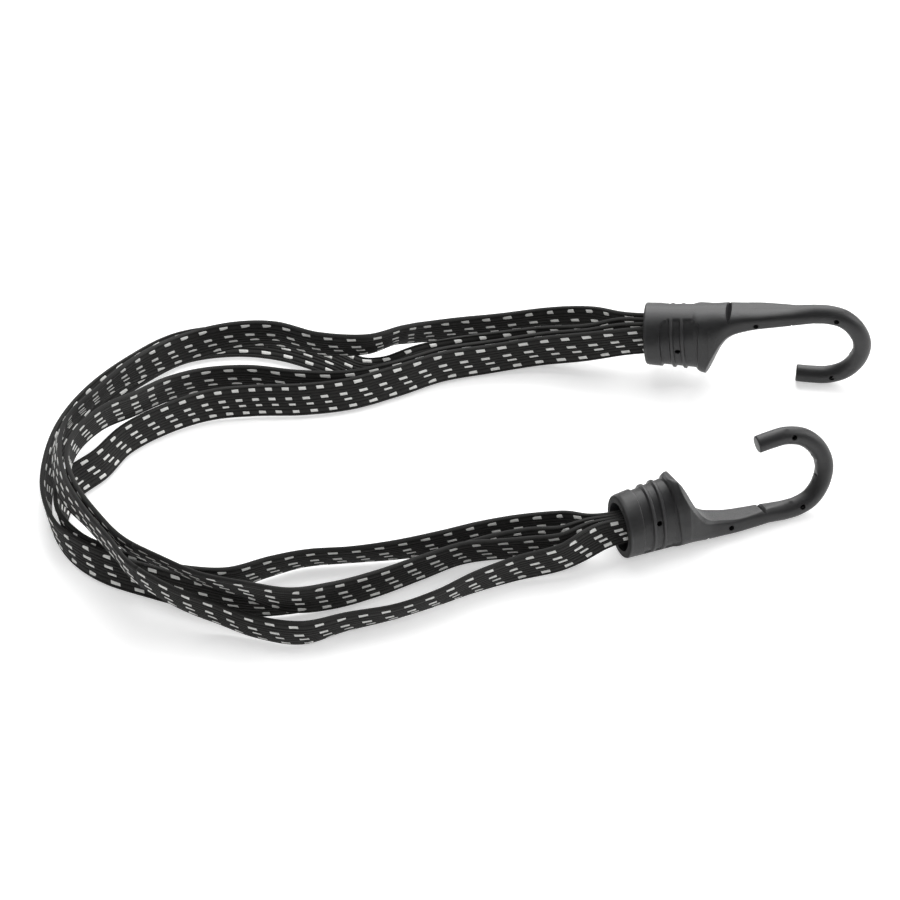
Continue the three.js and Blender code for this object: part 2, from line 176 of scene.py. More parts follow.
class Arm(Enum):
    """The two lengths that each strap is modelled in."""

    FAR = "far"
    NEAR = "near"


def unit(vectors: np.ndarray) -> np.ndarray:
    """Vectors of length one in the directions of an array's last axis."""
    return vectors / np.linalg.norm(vectors, axis=-1, keepdims=True)


def ramp(values: np.ndarray, low: float, high: float) -> np.ndarray:
    """Smooth step of each value, from 0 at low to 1 at high."""
    share = np.clip((values - low) / (high - low), 0.0, 1.0)
    return share * share * (3.0 - 2.0 * share)


class Spline:
    """Catmull-Rom curve through points, evaluated at a parameter from 0 to 1."""

    def __init__(self, points: tuple | list, exponent: float = 0.25) -> None:
        """Stores the points.

        Args:
            points: Points that the curve runs through.
            exponent: 0.25 gives centripetal spacing, 0 gives even spacing.
        """
        inner = np.asarray(points, dtype=float)
        first = 2.0 * inner[0] - inner[1]
        last = 2.0 * inner[-1] - inner[-2]
        self.points = np.vstack([first, inner, last])
        self.count = len(inner)
        self.exponent = exponent

    def at(self, share: np.ndarray) -> np.ndarray:
        """Evaluates the curve.

        Args:
            share: Array of parameters from 0 to 1.

        Returns:
            Array with one point for each parameter.
        """
        place = np.clip(np.asarray(share, dtype=float), 0.0, 1.0) * (self.count - 1)
        index = np.minimum(place.astype(int), self.count - 2)
        t = (place - index)[:, None]
        x0, x1, x2, x3 = (self.points[index + k] for k in range(4))
        d0, d1, d2 = (self._spacing(a, b) for a, b in ((x0, x1), (x1, x2), (x2, x3)))
        m1 = ((x1 - x0) / d0 - (x2 - x0) / (d0 + d1) + (x2 - x1) / d1) * d1
        m2 = ((x2 - x1) / d1 - (x3 - x1) / (d1 + d2) + (x3 - x2) / d2) * d1
        c2 = -3.0 * x1 + 3.0 * x2 - 2.0 * m1 - m2
        c3 = 2.0 * x1 - 2.0 * x2 + m1 + m2
        return x1 + t * (m1 + t * (c2 + t * c3))

    def _spacing(self, start: np.ndarray, end: np.ndarray) -> np.ndarray:
        """Knot spacing between two rows of points."""
        return np.maximum(((end - start) ** 2).sum(axis=1, keepdims=True) ** self.exponent, 1e-4)

    def even(self, count: int, samples: int = 4000) -> tuple[np.ndarray, float]:
        """Parameters at equal distances along the curve.

        Args:
            count: Number of parameters.
            samples: Number of chords that the length is measured with.

        Returns:
            Tuple of the parameters and the curve's length.
        """
        share = np.linspace(0.0, 1.0, samples)
        steps = np.linalg.norm(np.diff(self.at(share), axis=0), axis=1)
        reach = np.concatenate([[0.0], np.cumsum(steps)])
        return np.interp(np.linspace(0.0, reach[-1], count), reach, share), float(reach[-1])


@dataclass(frozen=True)
class Route:
    """A strap's slots in the two sockets and its stations between them.

    Each station is x, y, height of the lower edge in strap widths, and lean in degrees toward the
    inside of the bend.
    """

    far_slot: int
    near_slot: int
    stations: tuple


@dataclass(frozen=True)
class HookPose:
    """Place of a hook: mouth centre, heading, climb and lean in degrees, side of the opening."""

    mouth: tuple
    heading: float
    climb: float
    lean: float
    opens: int

    def axes(self) -> tuple[np.ndarray, np.ndarray, np.ndarray]:
        """Directions of the placed hook.

        Returns:
            Tuple of unit vectors: along the hook, toward its opening, across it.
        """
        heading, climb, lean = (math.radians(v) for v in (self.heading, self.climb, self.lean))
        along = np.array([
            math.cos(climb) * math.cos(heading),
            math.cos(climb) * math.sin(heading),
            math.sin(climb),
        ])
        level = np.array([-math.sin(heading), math.cos(heading), 0.0])
        upright = np.cross(along, level)
        opening = (upright * math.cos(lean) + level * math.sin(lean)) * self.opens
        return along, opening, np.cross(along, opening)

    def place(self, local: np.ndarray) -> np.ndarray:
        """Moves points of the hook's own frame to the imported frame.

        Args:
            local: Array of points in millimetres: along, from the spine, across.

        Returns:
            Array of points in metres.
        """
        along, opening, across = self.axes()
        origin = np.array(self.mouth) - opening * HOOK.mouth_radius
        placed = origin + local @ np.stack([along, opening, across])
        return (placed - MIDDLE) * MM

    def slot_point(self, slot: int, depth: float, pitch: float) -> np.ndarray:
        """Middle of a strap inside or ahead of the socket.

        Args:
            slot: Number of the strap's slot.
            depth: Distance behind the mouth in millimetres.
            pitch: Distance between neighbouring straps in millimetres.

        Returns:
            Point in the photograph's frame, millimetres.
        """
        along, _, across = self.axes()
        offset = (slot - (len(ROUTES) - 1) / 2.0) * pitch
        return np.array(self.mouth) + along * depth + across * offset * self.opens


FAR_POSE = HookPose((64.8, 41.5, 15.5), -6.5, 5.9, -1.0, -1)
NEAR_POSE = HookPose((53.4, -51.0, 11.0), 20.0, -0.6, 16.0, 1)

ROUTES = {
    "strap_a": Route(0, 3, (
        (46, 51.1, 0.48, -16), (32.5, 56, 0.16, -7), (16, 56.5, 0, 2), (1.5, 56, 0, 11),
        (-10.5, 53, 0.16, 19), (-18, 48, 0.45, 25), (-28, 39, 0.71, 19), (-43, 39, 0.67, 11),
        (-58, 44, 0.62, 4), (-71.5, 42.5, 0.62, -3), (-85, 36.5, 0.64, -9), (-96.5, 27, 0.82, -5),
        (-107.5, 16.5, 1.02, 9), (-117.5, 5, 1.11, 21), (-126, -8.5, 1.11, 22), (-127, -23.5, 1.11, 14),
        (-123, -41, 1.11, 6), (-114, -54, 1.11, -11), (-104, -69.5, 1.11, -14), (-97.5, -79, 1.05, -17),
        (-85, -85, 0.64, -18), (-72, -88, 0.22, -14), (-60, -92, 0, -12), (-46, -95, 0, -11),
        (-33, -89, 0, -20), (-18.5, -83.5, 0, -27), (-5.5, -77.5, 0, -24), (7, -71, 0, -14),
        (21, -65.5, 0.04, -6), (35.5, -63, 0.24, -1),
    )),
    "strap_d": Route(1, 1, (
        (45, 44.6, 0.48, 4), (30, 46, 0.16, -7), (16, 44, 0, -20), (4, 40.5, 0, -36),
        (-8, 37, 0, -53), (-19.5, 32, 0, -66), (-31, 31.5, 0, -66), (-43, 38.5, 0, -62),
        (-57, 45, 0, -58), (-71, 47, 0, -53), (-87.5, 43.5, 0, -47), (-102, 31.5, 0, -40),
        (-114.5, 16.5, 0, -32), (-123, 0.5, 0, -23), (-127.5, -16.5, 0, -15), (-128, -33.5, 0, -11),
        (-123.5, -49, 0, -8), (-117.5, -59, 0, 8), (-108.5, -66.9, 0, 20), (-94.5, -73.5, 0, 24),
        (-80, -79, 0, 18), (-65, -82, 0, 4), (-49.5, -80.5, 0, -13), (-33.5, -75.5, 0, -15),
        (-18, -67, 0, -17), (-2, -57.5, 0, -22), (12, -52, 0, -19), (25, -51, 0.03, -10),
        (36, -53.5, 0.14, 1),
    )),
    "strap_b": Route(2, 2, (
        (45.5, 41.1, 0.48, -3), (30.5, 43, 0.16, -6), (14.5, 41, 0, -8), (-2, 36.5, 0, -12),
        (-18, 29, 0, -14), (-34, 24.5, 0, -11), (-50, 25.5, 0, -5), (-66, 29, 0, 1),
        (-80.5, 26.5, 0.14, 5), (-92.5, 18.5, 0.41, 7), (-103, 6, 0.78, 8), (-113, -5, 1.05, 8),
        (-120.5, -18.5, 1.11, 4), (-121.5, -31, 1.11, -2), (-117, -44, 1.11, -8), (-108, -57, 1.11, -17),
        (-99.5, -66.5, 1.11, -24), (-87.5, -73.5, 1.11, -31), (-75, -81, 1.09, -31),
        (-62.5, -86.5, 1.05, -22),
        (-50, -88.5, 0.73, -9), (-36.5, -83, 0.38, -1), (-22.5, -75.5, 0.25, -2), (-8.5, -67, 0.22, -6),
        (3.5, -60, 0.22, -12), (14, -57.5, 0.22, -17), (25, -57, 0.22, -13), (36, -56.5, 0.27, -9),
    )),
    "strap_c": Route(3, 0, (
        (44.5, 38.6, 0.48, -5), (29.5, 40.5, 0.16, -6), (13.5, 38.5, 0, -8), (-2.5, 34, 0, -12),
        (-16.5, 26.5, 0, -18), (-32, 19.5, 0, -22), (-48, 16.5, 0, -22), (-64, 16, 0, -19),
        (-78, 14, 0, -16), (-91.5, 7.5, 0, -13), (-104, -3, 0, -15), (-111, -15.5, 0, -24),
        (-119.5, -26, 0, -28), (-122.5, -41, 0, -14), (-117, -55.5, 0, 4), (-107.5, -64.1, 0, 20),
        (-94, -70, 0, 18), (-81, -71.7, 0, 4), (-70, -70, 0, -9), (-57.5, -63.5, 0, -16),
        (-46, -58.5, 0, -23), (-31.5, -56.5, 0, -25), (-18, -55, 0, -19), (-4, -52.5, 0, -10),
        (10, -49, 0, -2), (23, -47, 0.02, 4), (35, -47, 0.08, 9),
    )),
}


def new_object(name: str, vertices: np.ndarray, faces: list, smooth: bool = True) -> bpy.types.Object:
    """Links a mesh object built from plain arrays.

    Args:
        name: Name of the object and its mesh.
        vertices: Array of points in metres.
        faces: Lists of vertex indices.
        smooth: Whether the faces shade smoothly.

    Returns:
        The new object.
    """
    mesh = bpy.data.meshes.new(name)
    mesh.from_pydata([tuple(point) for point in vertices], [], faces)
    mesh.update()
    if smooth:
        mesh.polygons.foreach_set("use_smooth", [True] * len(mesh.polygons))
    made = bpy.data.objects.new(name, mesh)
    bpy.context.scene.collection.objects.link(made)
    return made


def ring_faces(rings: int, points: int) -> list:
    """Quads between consecutive rings of points, with a cap on the first and on the last ring.

    Args:
        rings: Number of rings.
        points: Number of points in each ring.

    Returns:
        List of faces.
    """
    faces = []
    for ring in range(rings - 1):
        low = ring * points
        high = low + points
        for side in range(points):
            after = (side + 1) % points
            faces.append((low + side, low + after, high + after, high + side))
    total = rings * points
    faces.append(tuple(range(points))[::-1])
    faces.append(tuple(range(total - points, total)))
    return faces


def plane_directions(places: np.ndarray) -> tuple[np.ndarray, np.ndarray]:
    """Directions of a curve in the hook's mid-plane.

    Args:
        places: Points of the curve.

    Returns:
        Tuple of unit vectors: along the curve, and square to it in the plane.
    """
    tangents = unit(np.gradient(places, axis=0))
    outward = np.stack([-tangents[:, 1], tangents[:, 0], np.zeros(len(tangents))], axis=-1)
    return tangents, outward


def rod_ring(place: np.ndarray, out: np.ndarray, radius: float | np.ndarray, angle: np.ndarray) -> np.ndarray:
    """Ring of points round a rod in the hook's mid-plane.

    Args:
        place: Middle of the ring.
        out: Direction square to the rod in the plane.
        radius: Radius, or one for each point.
        angle: Turn of each point.

    Returns:
        Array of points.
    """
    ring = place + out * (radius * np.cos(angle))[:, None]
    ring[:, 2] += radius * np.sin(angle)
    return ring


def discard(obj: bpy.types.Object) -> None:
    """Removes a source object and its mesh.

    Args:
        obj: Object that is no longer needed.
    """
    mesh = obj.data
    bpy.data.objects.remove(obj)
    bpy.data.meshes.remove(mesh)


def apply_modifiers(obj: bpy.types.Object) -> None:
    """Replaces an object's mesh by its evaluated one and removes its modifiers.

    Args:
        obj: Mesh object with modifiers.
    """
    graph = bpy.context.evaluated_depsgraph_get()
    graph.update()
    evaluated = bpy.data.meshes.new_from_object(obj.evaluated_get(graph))
    spent = obj.data
    obj.modifiers.clear()
    obj.data = evaluated
    evaluated.name = obj.name
    bpy.data.meshes.remove(spent)


def orient_outward(obj: bpy.types.Object) -> None:
    """Turns a closed mesh's faces outward.

    Args:
        obj: Object with a closed mesh.
    """
    work = bmesh.new()
    work.from_mesh(obj.data)
    bmesh.ops.recalc_face_normals(work, faces=work.faces)
    work.to_mesh(obj.data)
    work.free()


class Value:
    """A shader value that combines with others through ordinary operators."""

    def __init__(self, shader: "Shader", socket: bpy.types.NodeSocket) -> None:
        """Wraps an output socket of a shader."""
        self.shader = shader
        self.socket = socket

    def _math(self, operation: str, *others: "Value | float") -> "Value":
        """Adds one Math node fed by this value and others."""
        return self.shader.math(operation, self, *others)

    def __add__(self, other: "Value | float") -> "Value":
        """This value plus another."""
        return self._math("ADD", other)

    def __radd__(self, other: float) -> "Value":
        """A number plus this value."""
        return self.shader.math("ADD", other, self)

    def __sub__(self, other: "Value | float") -> "Value":
        """This value less another."""
        return self._math("SUBTRACT", other)

    def __rsub__(self, other: float) -> "Value":
        """A number less this value."""
        return self.shader.math("SUBTRACT", other, self)

    def __mul__(self, other: "Value | float") -> "Value":
        """This value times another."""
        return self._math("MULTIPLY", other)

    def __rmul__(self, other: float) -> "Value":
        """A number times this value."""
        return self.shader.math("MULTIPLY", other, self)

    def sine(self) -> "Value":
        """Sine of this value in radians."""
        return self._math("SINE")

    def fraction(self) -> "Value":
        """Part of this value after the point."""
        return self._math("FRACT")

    def size(self) -> "Value":
        """This value without its sign."""
        return self._math("ABSOLUTE")

    def power(self, exponent: float) -> "Value":
        """This value raised to an exponent."""
        return self._math("POWER", exponent)

    def clamped(self) -> "Value":
        """This value kept between 0 and 1."""
        return self.shader.node("ShaderNodeClamp", {"Value": self})


class Shader:
    """Builds the node tree of one material around a Principled shader."""

    def __init__(self, name: str) -> None:
        """Makes an empty material.

        Args:
            name: Name of the material.
        """
        self.material = bpy.data.materials.new(name)
        self.material.use_nodes = True
        self.tree = self.material.node_tree
        self.surface = self.tree.nodes["Principled BSDF"]

    def feed(self, socket: bpy.types.NodeSocket, source: "Value | float | tuple") -> None:
        """Links or sets an input socket.

        Args:
            socket: Input socket.
            source: Value, number, colour or vector.
        """
        if isinstance(source, Value):
            self.tree.links.new(source.socket, socket)
        else:
            socket.default_value = source

    def node(self, kind: str, inputs: dict | None = None, output: int | str = 0, **settings: object) -> Value:
        """Adds a node.

        Args:
            kind: Node type.
            inputs: Input socket names or numbers with their sources.
            output: Name or number of the output that is returned.
            **settings: Properties of the node.

        Returns:
            Value of the chosen output.
        """
        made = self.tree.nodes.new(kind)
        for key, setting in settings.items():
            setattr(made, key, setting)
        for key, source in (inputs or {}).items():
            self.feed(made.inputs[key], source)
        return Value(self, made.outputs[output])

    def math(self, operation: str, *sources: Value | float) -> Value:
        """Adds a Math node."""
        return self.node("ShaderNodeMath", dict(enumerate(sources)), operation=operation)

    def blend(self, share: Value, first: Value | tuple, second: Value | tuple) -> Value:
        """Mixes two colours by the share of the second."""
        inputs = {0: share, 6: first, 7: second}
        return self.node("ShaderNodeMix", inputs, output=2, data_type="RGBA")

    def step(self, value: Value, low: float, high: float) -> Value:
        """Smooth step of a value from 0 at low to 1 at high."""
        inputs = {"Value": value, "From Min": low, "From Max": high}
        return self.node("ShaderNodeMapRange", inputs, interpolation_type="SMOOTHSTEP")

    def part(self, place: Value, number: int) -> Value:
        """One coordinate of a vector value."""
        return self.node("ShaderNodeSeparateXYZ", {0: place}, output=number)

    def noise(
        self,
        place: Value,
        scale: float,
        detail: float = 2.0,
        stretch: tuple = (1.0, 1.0, 1.0),
    ) -> Value:
        """Noise from 0 to 1 read at a place, which is stretched by a factor for each axis first."""
        moved = self.node("ShaderNodeVectorMath", {0: place, 1: stretch}, operation="MULTIPLY")
        return self.node("ShaderNodeTexNoise", {"Vector": moved, "Scale": scale, "Detail": detail})

    def bump(self, height: Value, distance: float) -> Value:
        """Normal bent by a height, of which 1 stands for a distance in metres."""
        return self.node("ShaderNodeBump", {"Height": height, "Distance": distance})

    def finish(self, **sources: Value | float | tuple) -> bpy.types.Material:
        """Feeds the Principled shader.

        Args:
            **sources: Socket names, with underscores for spaces, and their sources.

        Returns:
            The finished material.
        """
        for key, source in sources.items():
            self.feed(self.surface.inputs[key.replace("_", " ")], source)
        return self.material


@dataclass(frozen=True)
class WebbingFinish:
    """Dark textile ribs over rubber, with painted shade in the grooves and a painted highlight on the crests.
    """

    rib: tuple = (0.0120, 0.0118, 0.0112, 1.0)
    crest_highlight_and_fibre: tuple = (0.026, 0.0255, 0.024, 1.0)
    groove_shade: tuple = (0.0030, 0.0030, 0.0029, 1.0)
    crest_highlight: float = 0.35
    pick_lift: float = 0.5
    fibre_lift: float = 0.45
    lift_start: float = 0.28
    groove_shade_share: float = 0.55
    cloud_share: float = 0.5
    crest_relief: float = 0.5
    pick_relief: float = 0.4
    fibre_relief: float = 0.5
    roughness: float = 0.74
    fibre_roughness: float = 0.16
    sheen: float = 0.08
    sheen_roughness: float = 0.5
    gloss: float = 0.35
    crest_power: float = 2.2
    picks: float = 12.0
    pick_offset: float = 0.5
    pick_slant: float = 0.9
    pick_height: float = 0.00006
    fibre_stretch: tuple = (60.0, 190.0, 1.0)
    cloud_stretch: tuple = (0.9, 3.0, 1.0)

    def material(self) -> bpy.types.Material:
        """Builds the webbing material from the piece's UV map.

        Returns:
            The material.
        """
        shader = Shader("webbing_finish")
        ribs = float(len(STRAP.rib_edges) - 1)
        place = shader.node("ShaderNodeUVMap", uv_map="weave")
        along, over = shader.part(place, 0), shader.part(place, 1)
        rib = (over * ribs).fraction()
        crest = 1.0 - ((rib - 0.5) * 2.0).size().power(self.crest_power)
        number = over * ribs - rib
        turned = along * self.picks + number * self.pick_offset + (rib - 0.5) * self.pick_slant
        pick = (turned * (2.0 * math.pi)).sine() * 0.5 + 0.5
        fibre = shader.noise(place, 1.0, 3.0, self.fibre_stretch)
        cloud = shader.noise(place, 1.0, 2.0, self.cloud_stretch)
        # Painted highlight on each rib's crest, brightened further on each pick; the fibre noise adds random
        # pale tone.
        lift = crest * (self.crest_highlight + pick * self.pick_lift)
        lift = (lift + fibre * self.fibre_lift - self.lift_start).clamped()
        body = shader.blend(lift, self.rib, self.crest_highlight_and_fibre)
        # Painted shade: the groove between neighbouring ribs is darkened, by a share that the cloud noise
        # varies.
        sunk = (1.0 - crest) * (self.groove_shade_share + cloud * self.cloud_share)
        shade = shader.blend(sunk, body, self.groove_shade)
        weave = crest * self.crest_relief + pick * crest * self.pick_relief + fibre * self.fibre_relief
        return shader.finish(
            Base_Color=shade,
            Roughness=self.roughness + fibre * self.fibre_roughness,
            Normal=shader.bump(weave, self.pick_height),
            Sheen_Weight=self.sheen,
            Sheen_Roughness=self.sheen_roughness,
            Specular_IOR_Level=self.gloss,
        )


@dataclass(frozen=True)
class TracerFinish:
    """White tracer yarn that floats over the ribs in short dashes."""

    yarn: tuple = (0.88, 0.88, 0.86, 1.0)
    shaded: tuple = (0.60, 0.60, 0.575, 1.0)
    roughness: float = 0.62
    strand_roughness: float = 0.2
    strand_stretch: tuple = (5.0, 34.0, 1.0)
    strand_height: float = 0.00005
    soil_scale: float = 260.0
    strand_share: float = 1.2
    soil_share: float = 0.8
    share_start: float = 0.35
    sheen: float = 0.1

    def material(self) -> bpy.types.Material:
        """Builds the yarn material, streaked along the dash.

        Returns:
            The material.
        """
        shader = Shader("tracer_finish")
        soil = shader.noise(shader.node("ShaderNodeTexCoord", output="Object"), self.soil_scale)
        place = shader.node("ShaderNodeAttribute", attribute_name="dash", output="Vector")
        strand = shader.noise(place, 1.0, 2.0, self.strand_stretch)
        share = (strand * self.strand_share - self.share_start + (soil - 0.5) * self.soil_share).clamped()
        return shader.finish(
            Base_Color=shader.blend(share, self.yarn, self.shaded),
            Roughness=self.roughness + strand * self.strand_roughness,
            Normal=shader.bump(strand, self.strand_height),
            Sheen_Weight=self.sheen,
        )


@dataclass(frozen=True)
class PlasticFinish:
    """Charcoal moulded plastic: fine grain, flow marks, painted highlight on ridges and rim, dark end face.

    Scales and stretches are for places in millimetres; each range runs from nothing to the full mark.
    """

    colour: tuple = (0.016, 0.016, 0.0166, 1.0)
    pale: tuple = (0.028, 0.028, 0.029, 1.0)
    highlight_and_speck: tuple = (0.10, 0.10, 0.103, 1.0)
    seam: tuple = (0.006, 0.006, 0.0063, 1.0)
    roughness: float = 0.36
    end_roughness: float = 0.35
    grain_scale: float = 2.6
    fine_scale: float = 11.0
    grain_height: float = 0.00006
    flow_scale: float = 0.35
    flow_stretch: tuple = (0.35, 1.0, 1.0)
    scuff_stretch: tuple = (0.5, 2.4, 2.4)
    scuff_range: tuple = (0.56, 0.74)
    speck_scale: float = 2.1
    speck_range: tuple = (0.80, 0.84)
    seam_width: tuple = (0.05, 0.2)
    seam_reach: tuple = (0.5, 1.2)
    end_reach: tuple = (0.05, 0.5)
    end_share: float = 0.8
    seam_share: float = 0.35
    seam_flow: float = 0.5
    flow_share: float = 1.3
    flow_start: float = 0.35
    scuff_share: float = 0.14
    highlight_base: float = 0.35
    highlight_grain: float = 0.9
    highlight_weight: float = 0.75
    speck_share: float = 0.3
    grain_roughness: float = 0.12
    scuff_roughness: float = 0.12
    highlight_polish: float = 0.06
    grain_relief: float = 0.6
    fine_relief: float = 0.5
    gloss: float = 0.45

    def material(self) -> bpy.types.Material:
        """Builds the plastic material from the piece's hook coordinates.

        Returns:
            The material.
        """
        shader = Shader("moulded_finish")
        place = shader.node("ShaderNodeAttribute", attribute_name="hook_place", output="Vector")
        highlight_mask = shader.node("ShaderNodeAttribute", attribute_name="edge_wear", output="Fac")
        along, from_spine, across = (shader.part(place, number) for number in range(3))
        grain = shader.noise(place, self.grain_scale, 3.0)
        fine = shader.noise(place, self.fine_scale)
        flow = shader.noise(place, self.flow_scale, 3.0, self.flow_stretch)
        scuff = shader.step(shader.noise(place, 1.0, 4.0, self.scuff_stretch), *self.scuff_range)
        speck = shader.step(shader.noise(place, self.speck_scale, 1.0), *self.speck_range)
        # Painted highlight: the ridges and the mouth rim are mixed toward the pale colour, varied by grain.
        highlighted = (highlight_mask * (self.highlight_base + grain * self.highlight_grain)).clamped()
        end_face = 1.0 - shader.step(along, *self.end_reach)
        seam = 1.0 - shader.step(across.size(), *self.seam_width)
        seam = seam * (1.0 - shader.step(from_spine, *self.seam_reach))
        paler = (flow * self.flow_share - self.flow_start + scuff * self.scuff_share).clamped()
        colour = shader.blend(paler, self.colour, self.pale)
        # Painted highlight on the ridges and rim, together with real pale specks.
        highlight_and_speck = (highlighted * self.highlight_weight + speck * self.speck_share).clamped()
        colour = shader.blend(highlight_and_speck, colour, self.highlight_and_speck)
        darker = (seam * (self.seam_share + flow * self.seam_flow) + end_face * self.end_share).clamped()
        colour = shader.blend(darker, colour, self.seam)
        rough = self.roughness + grain * self.grain_roughness + scuff * self.scuff_roughness
        rough = rough - highlighted * self.highlight_polish
        return shader.finish(
            Base_Color=colour,
            Roughness=rough + end_face * self.end_roughness,
            Normal=shader.bump(grain * self.grain_relief + fine * self.fine_relief, self.grain_height),
            Specular_IOR_Level=self.gloss,
        )


@dataclass(frozen=True)
class SteelFinish:
    """Drawn wire and folded sheet steel with lengthwise streaks."""

    colour: tuple = (0.36, 0.365, 0.37, 1.0)
    dull: tuple = (0.22, 0.22, 0.225, 1.0)
    roughness: float = 0.32
    streak_stretch: tuple = (350.0, 2600.0, 2600.0)
    streak_height: float = 0.00003
    stain_scale: float = 210.0
    streak_share: float = 0.7
    stain_share: float = 0.5
    share_start: float = 0.2
    stain_roughness: float = 0.2

    def material(self) -> bpy.types.Material:
        """Builds the steel material in object coordinates.

        Returns:
            The material.
        """
        shader = Shader("steel_finish")
        place = shader.node("ShaderNodeTexCoord", output="Object")
        streak = shader.noise(place, 1.0, 3.0, self.streak_stretch)
        stain = shader.noise(place, self.stain_scale, 3.0)
        share = (streak * self.streak_share + stain * self.stain_share - self.share_start).clamped()
        return shader.finish(
            Base_Color=shader.blend(share, self.colour, self.dull),
            Metallic=1.0,
            Roughness=self.roughness + stain * self.stain_roughness,
            Normal=shader.bump(streak, self.streak_height),
        )


@dataclass(frozen=True)
class Weave:
    """Pattern and cupping of one strap.

    Cups hold an arm, a place along X and the bulge of the middle toward the inner face. Slack holds an
    arm, a place, its spread and the share by which the dashes stand closer there.
    """

    period: float
    start: float = 0.0
    cups: tuple = ()
    slack: tuple = ()


WEAVES = {
    "strap_a": Weave(7.3, 0.0, (
        (Arm.FAR, 20.0, 0.0), (Arm.FAR, 0.0, 0.5), (Arm.FAR, -50.0, 0.9), (Arm.FAR, -90.0, 0.4),
        (Arm.NEAR, -100.0, -0.2), (Arm.NEAR, -70.0, -0.9), (Arm.NEAR, -30.0, -1.3),
        (Arm.NEAR, 5.0, -0.8), (Arm.NEAR, 25.0, 0.0),
    )),
    "strap_d": Weave(8.2, 0.35),
    "strap_b": Weave(8.2, 0.6, (
        (Arm.FAR, 0.0, 0.0), (Arm.FAR, -40.0, 0.5), (Arm.FAR, -80.0, 0.5), (Arm.FAR, -105.0, 0.0),
    )),
    "strap_c": Weave(7.35, 0.2, (
        (Arm.FAR, 20.0, 0.0), (Arm.FAR, -10.0, 0.3), (Arm.FAR, -60.0, 0.5), (Arm.FAR, -95.0, 0.0),
        (Arm.NEAR, -80.0, 0.0), (Arm.NEAR, -60.0, -0.9), (Arm.NEAR, -30.0, -1.0), (Arm.NEAR, 0.0, -0.3),
        (Arm.NEAR, 15.0, 0.0),
    ), ((Arm.FAR, -62.0, 26.0, 0.36),)),
}


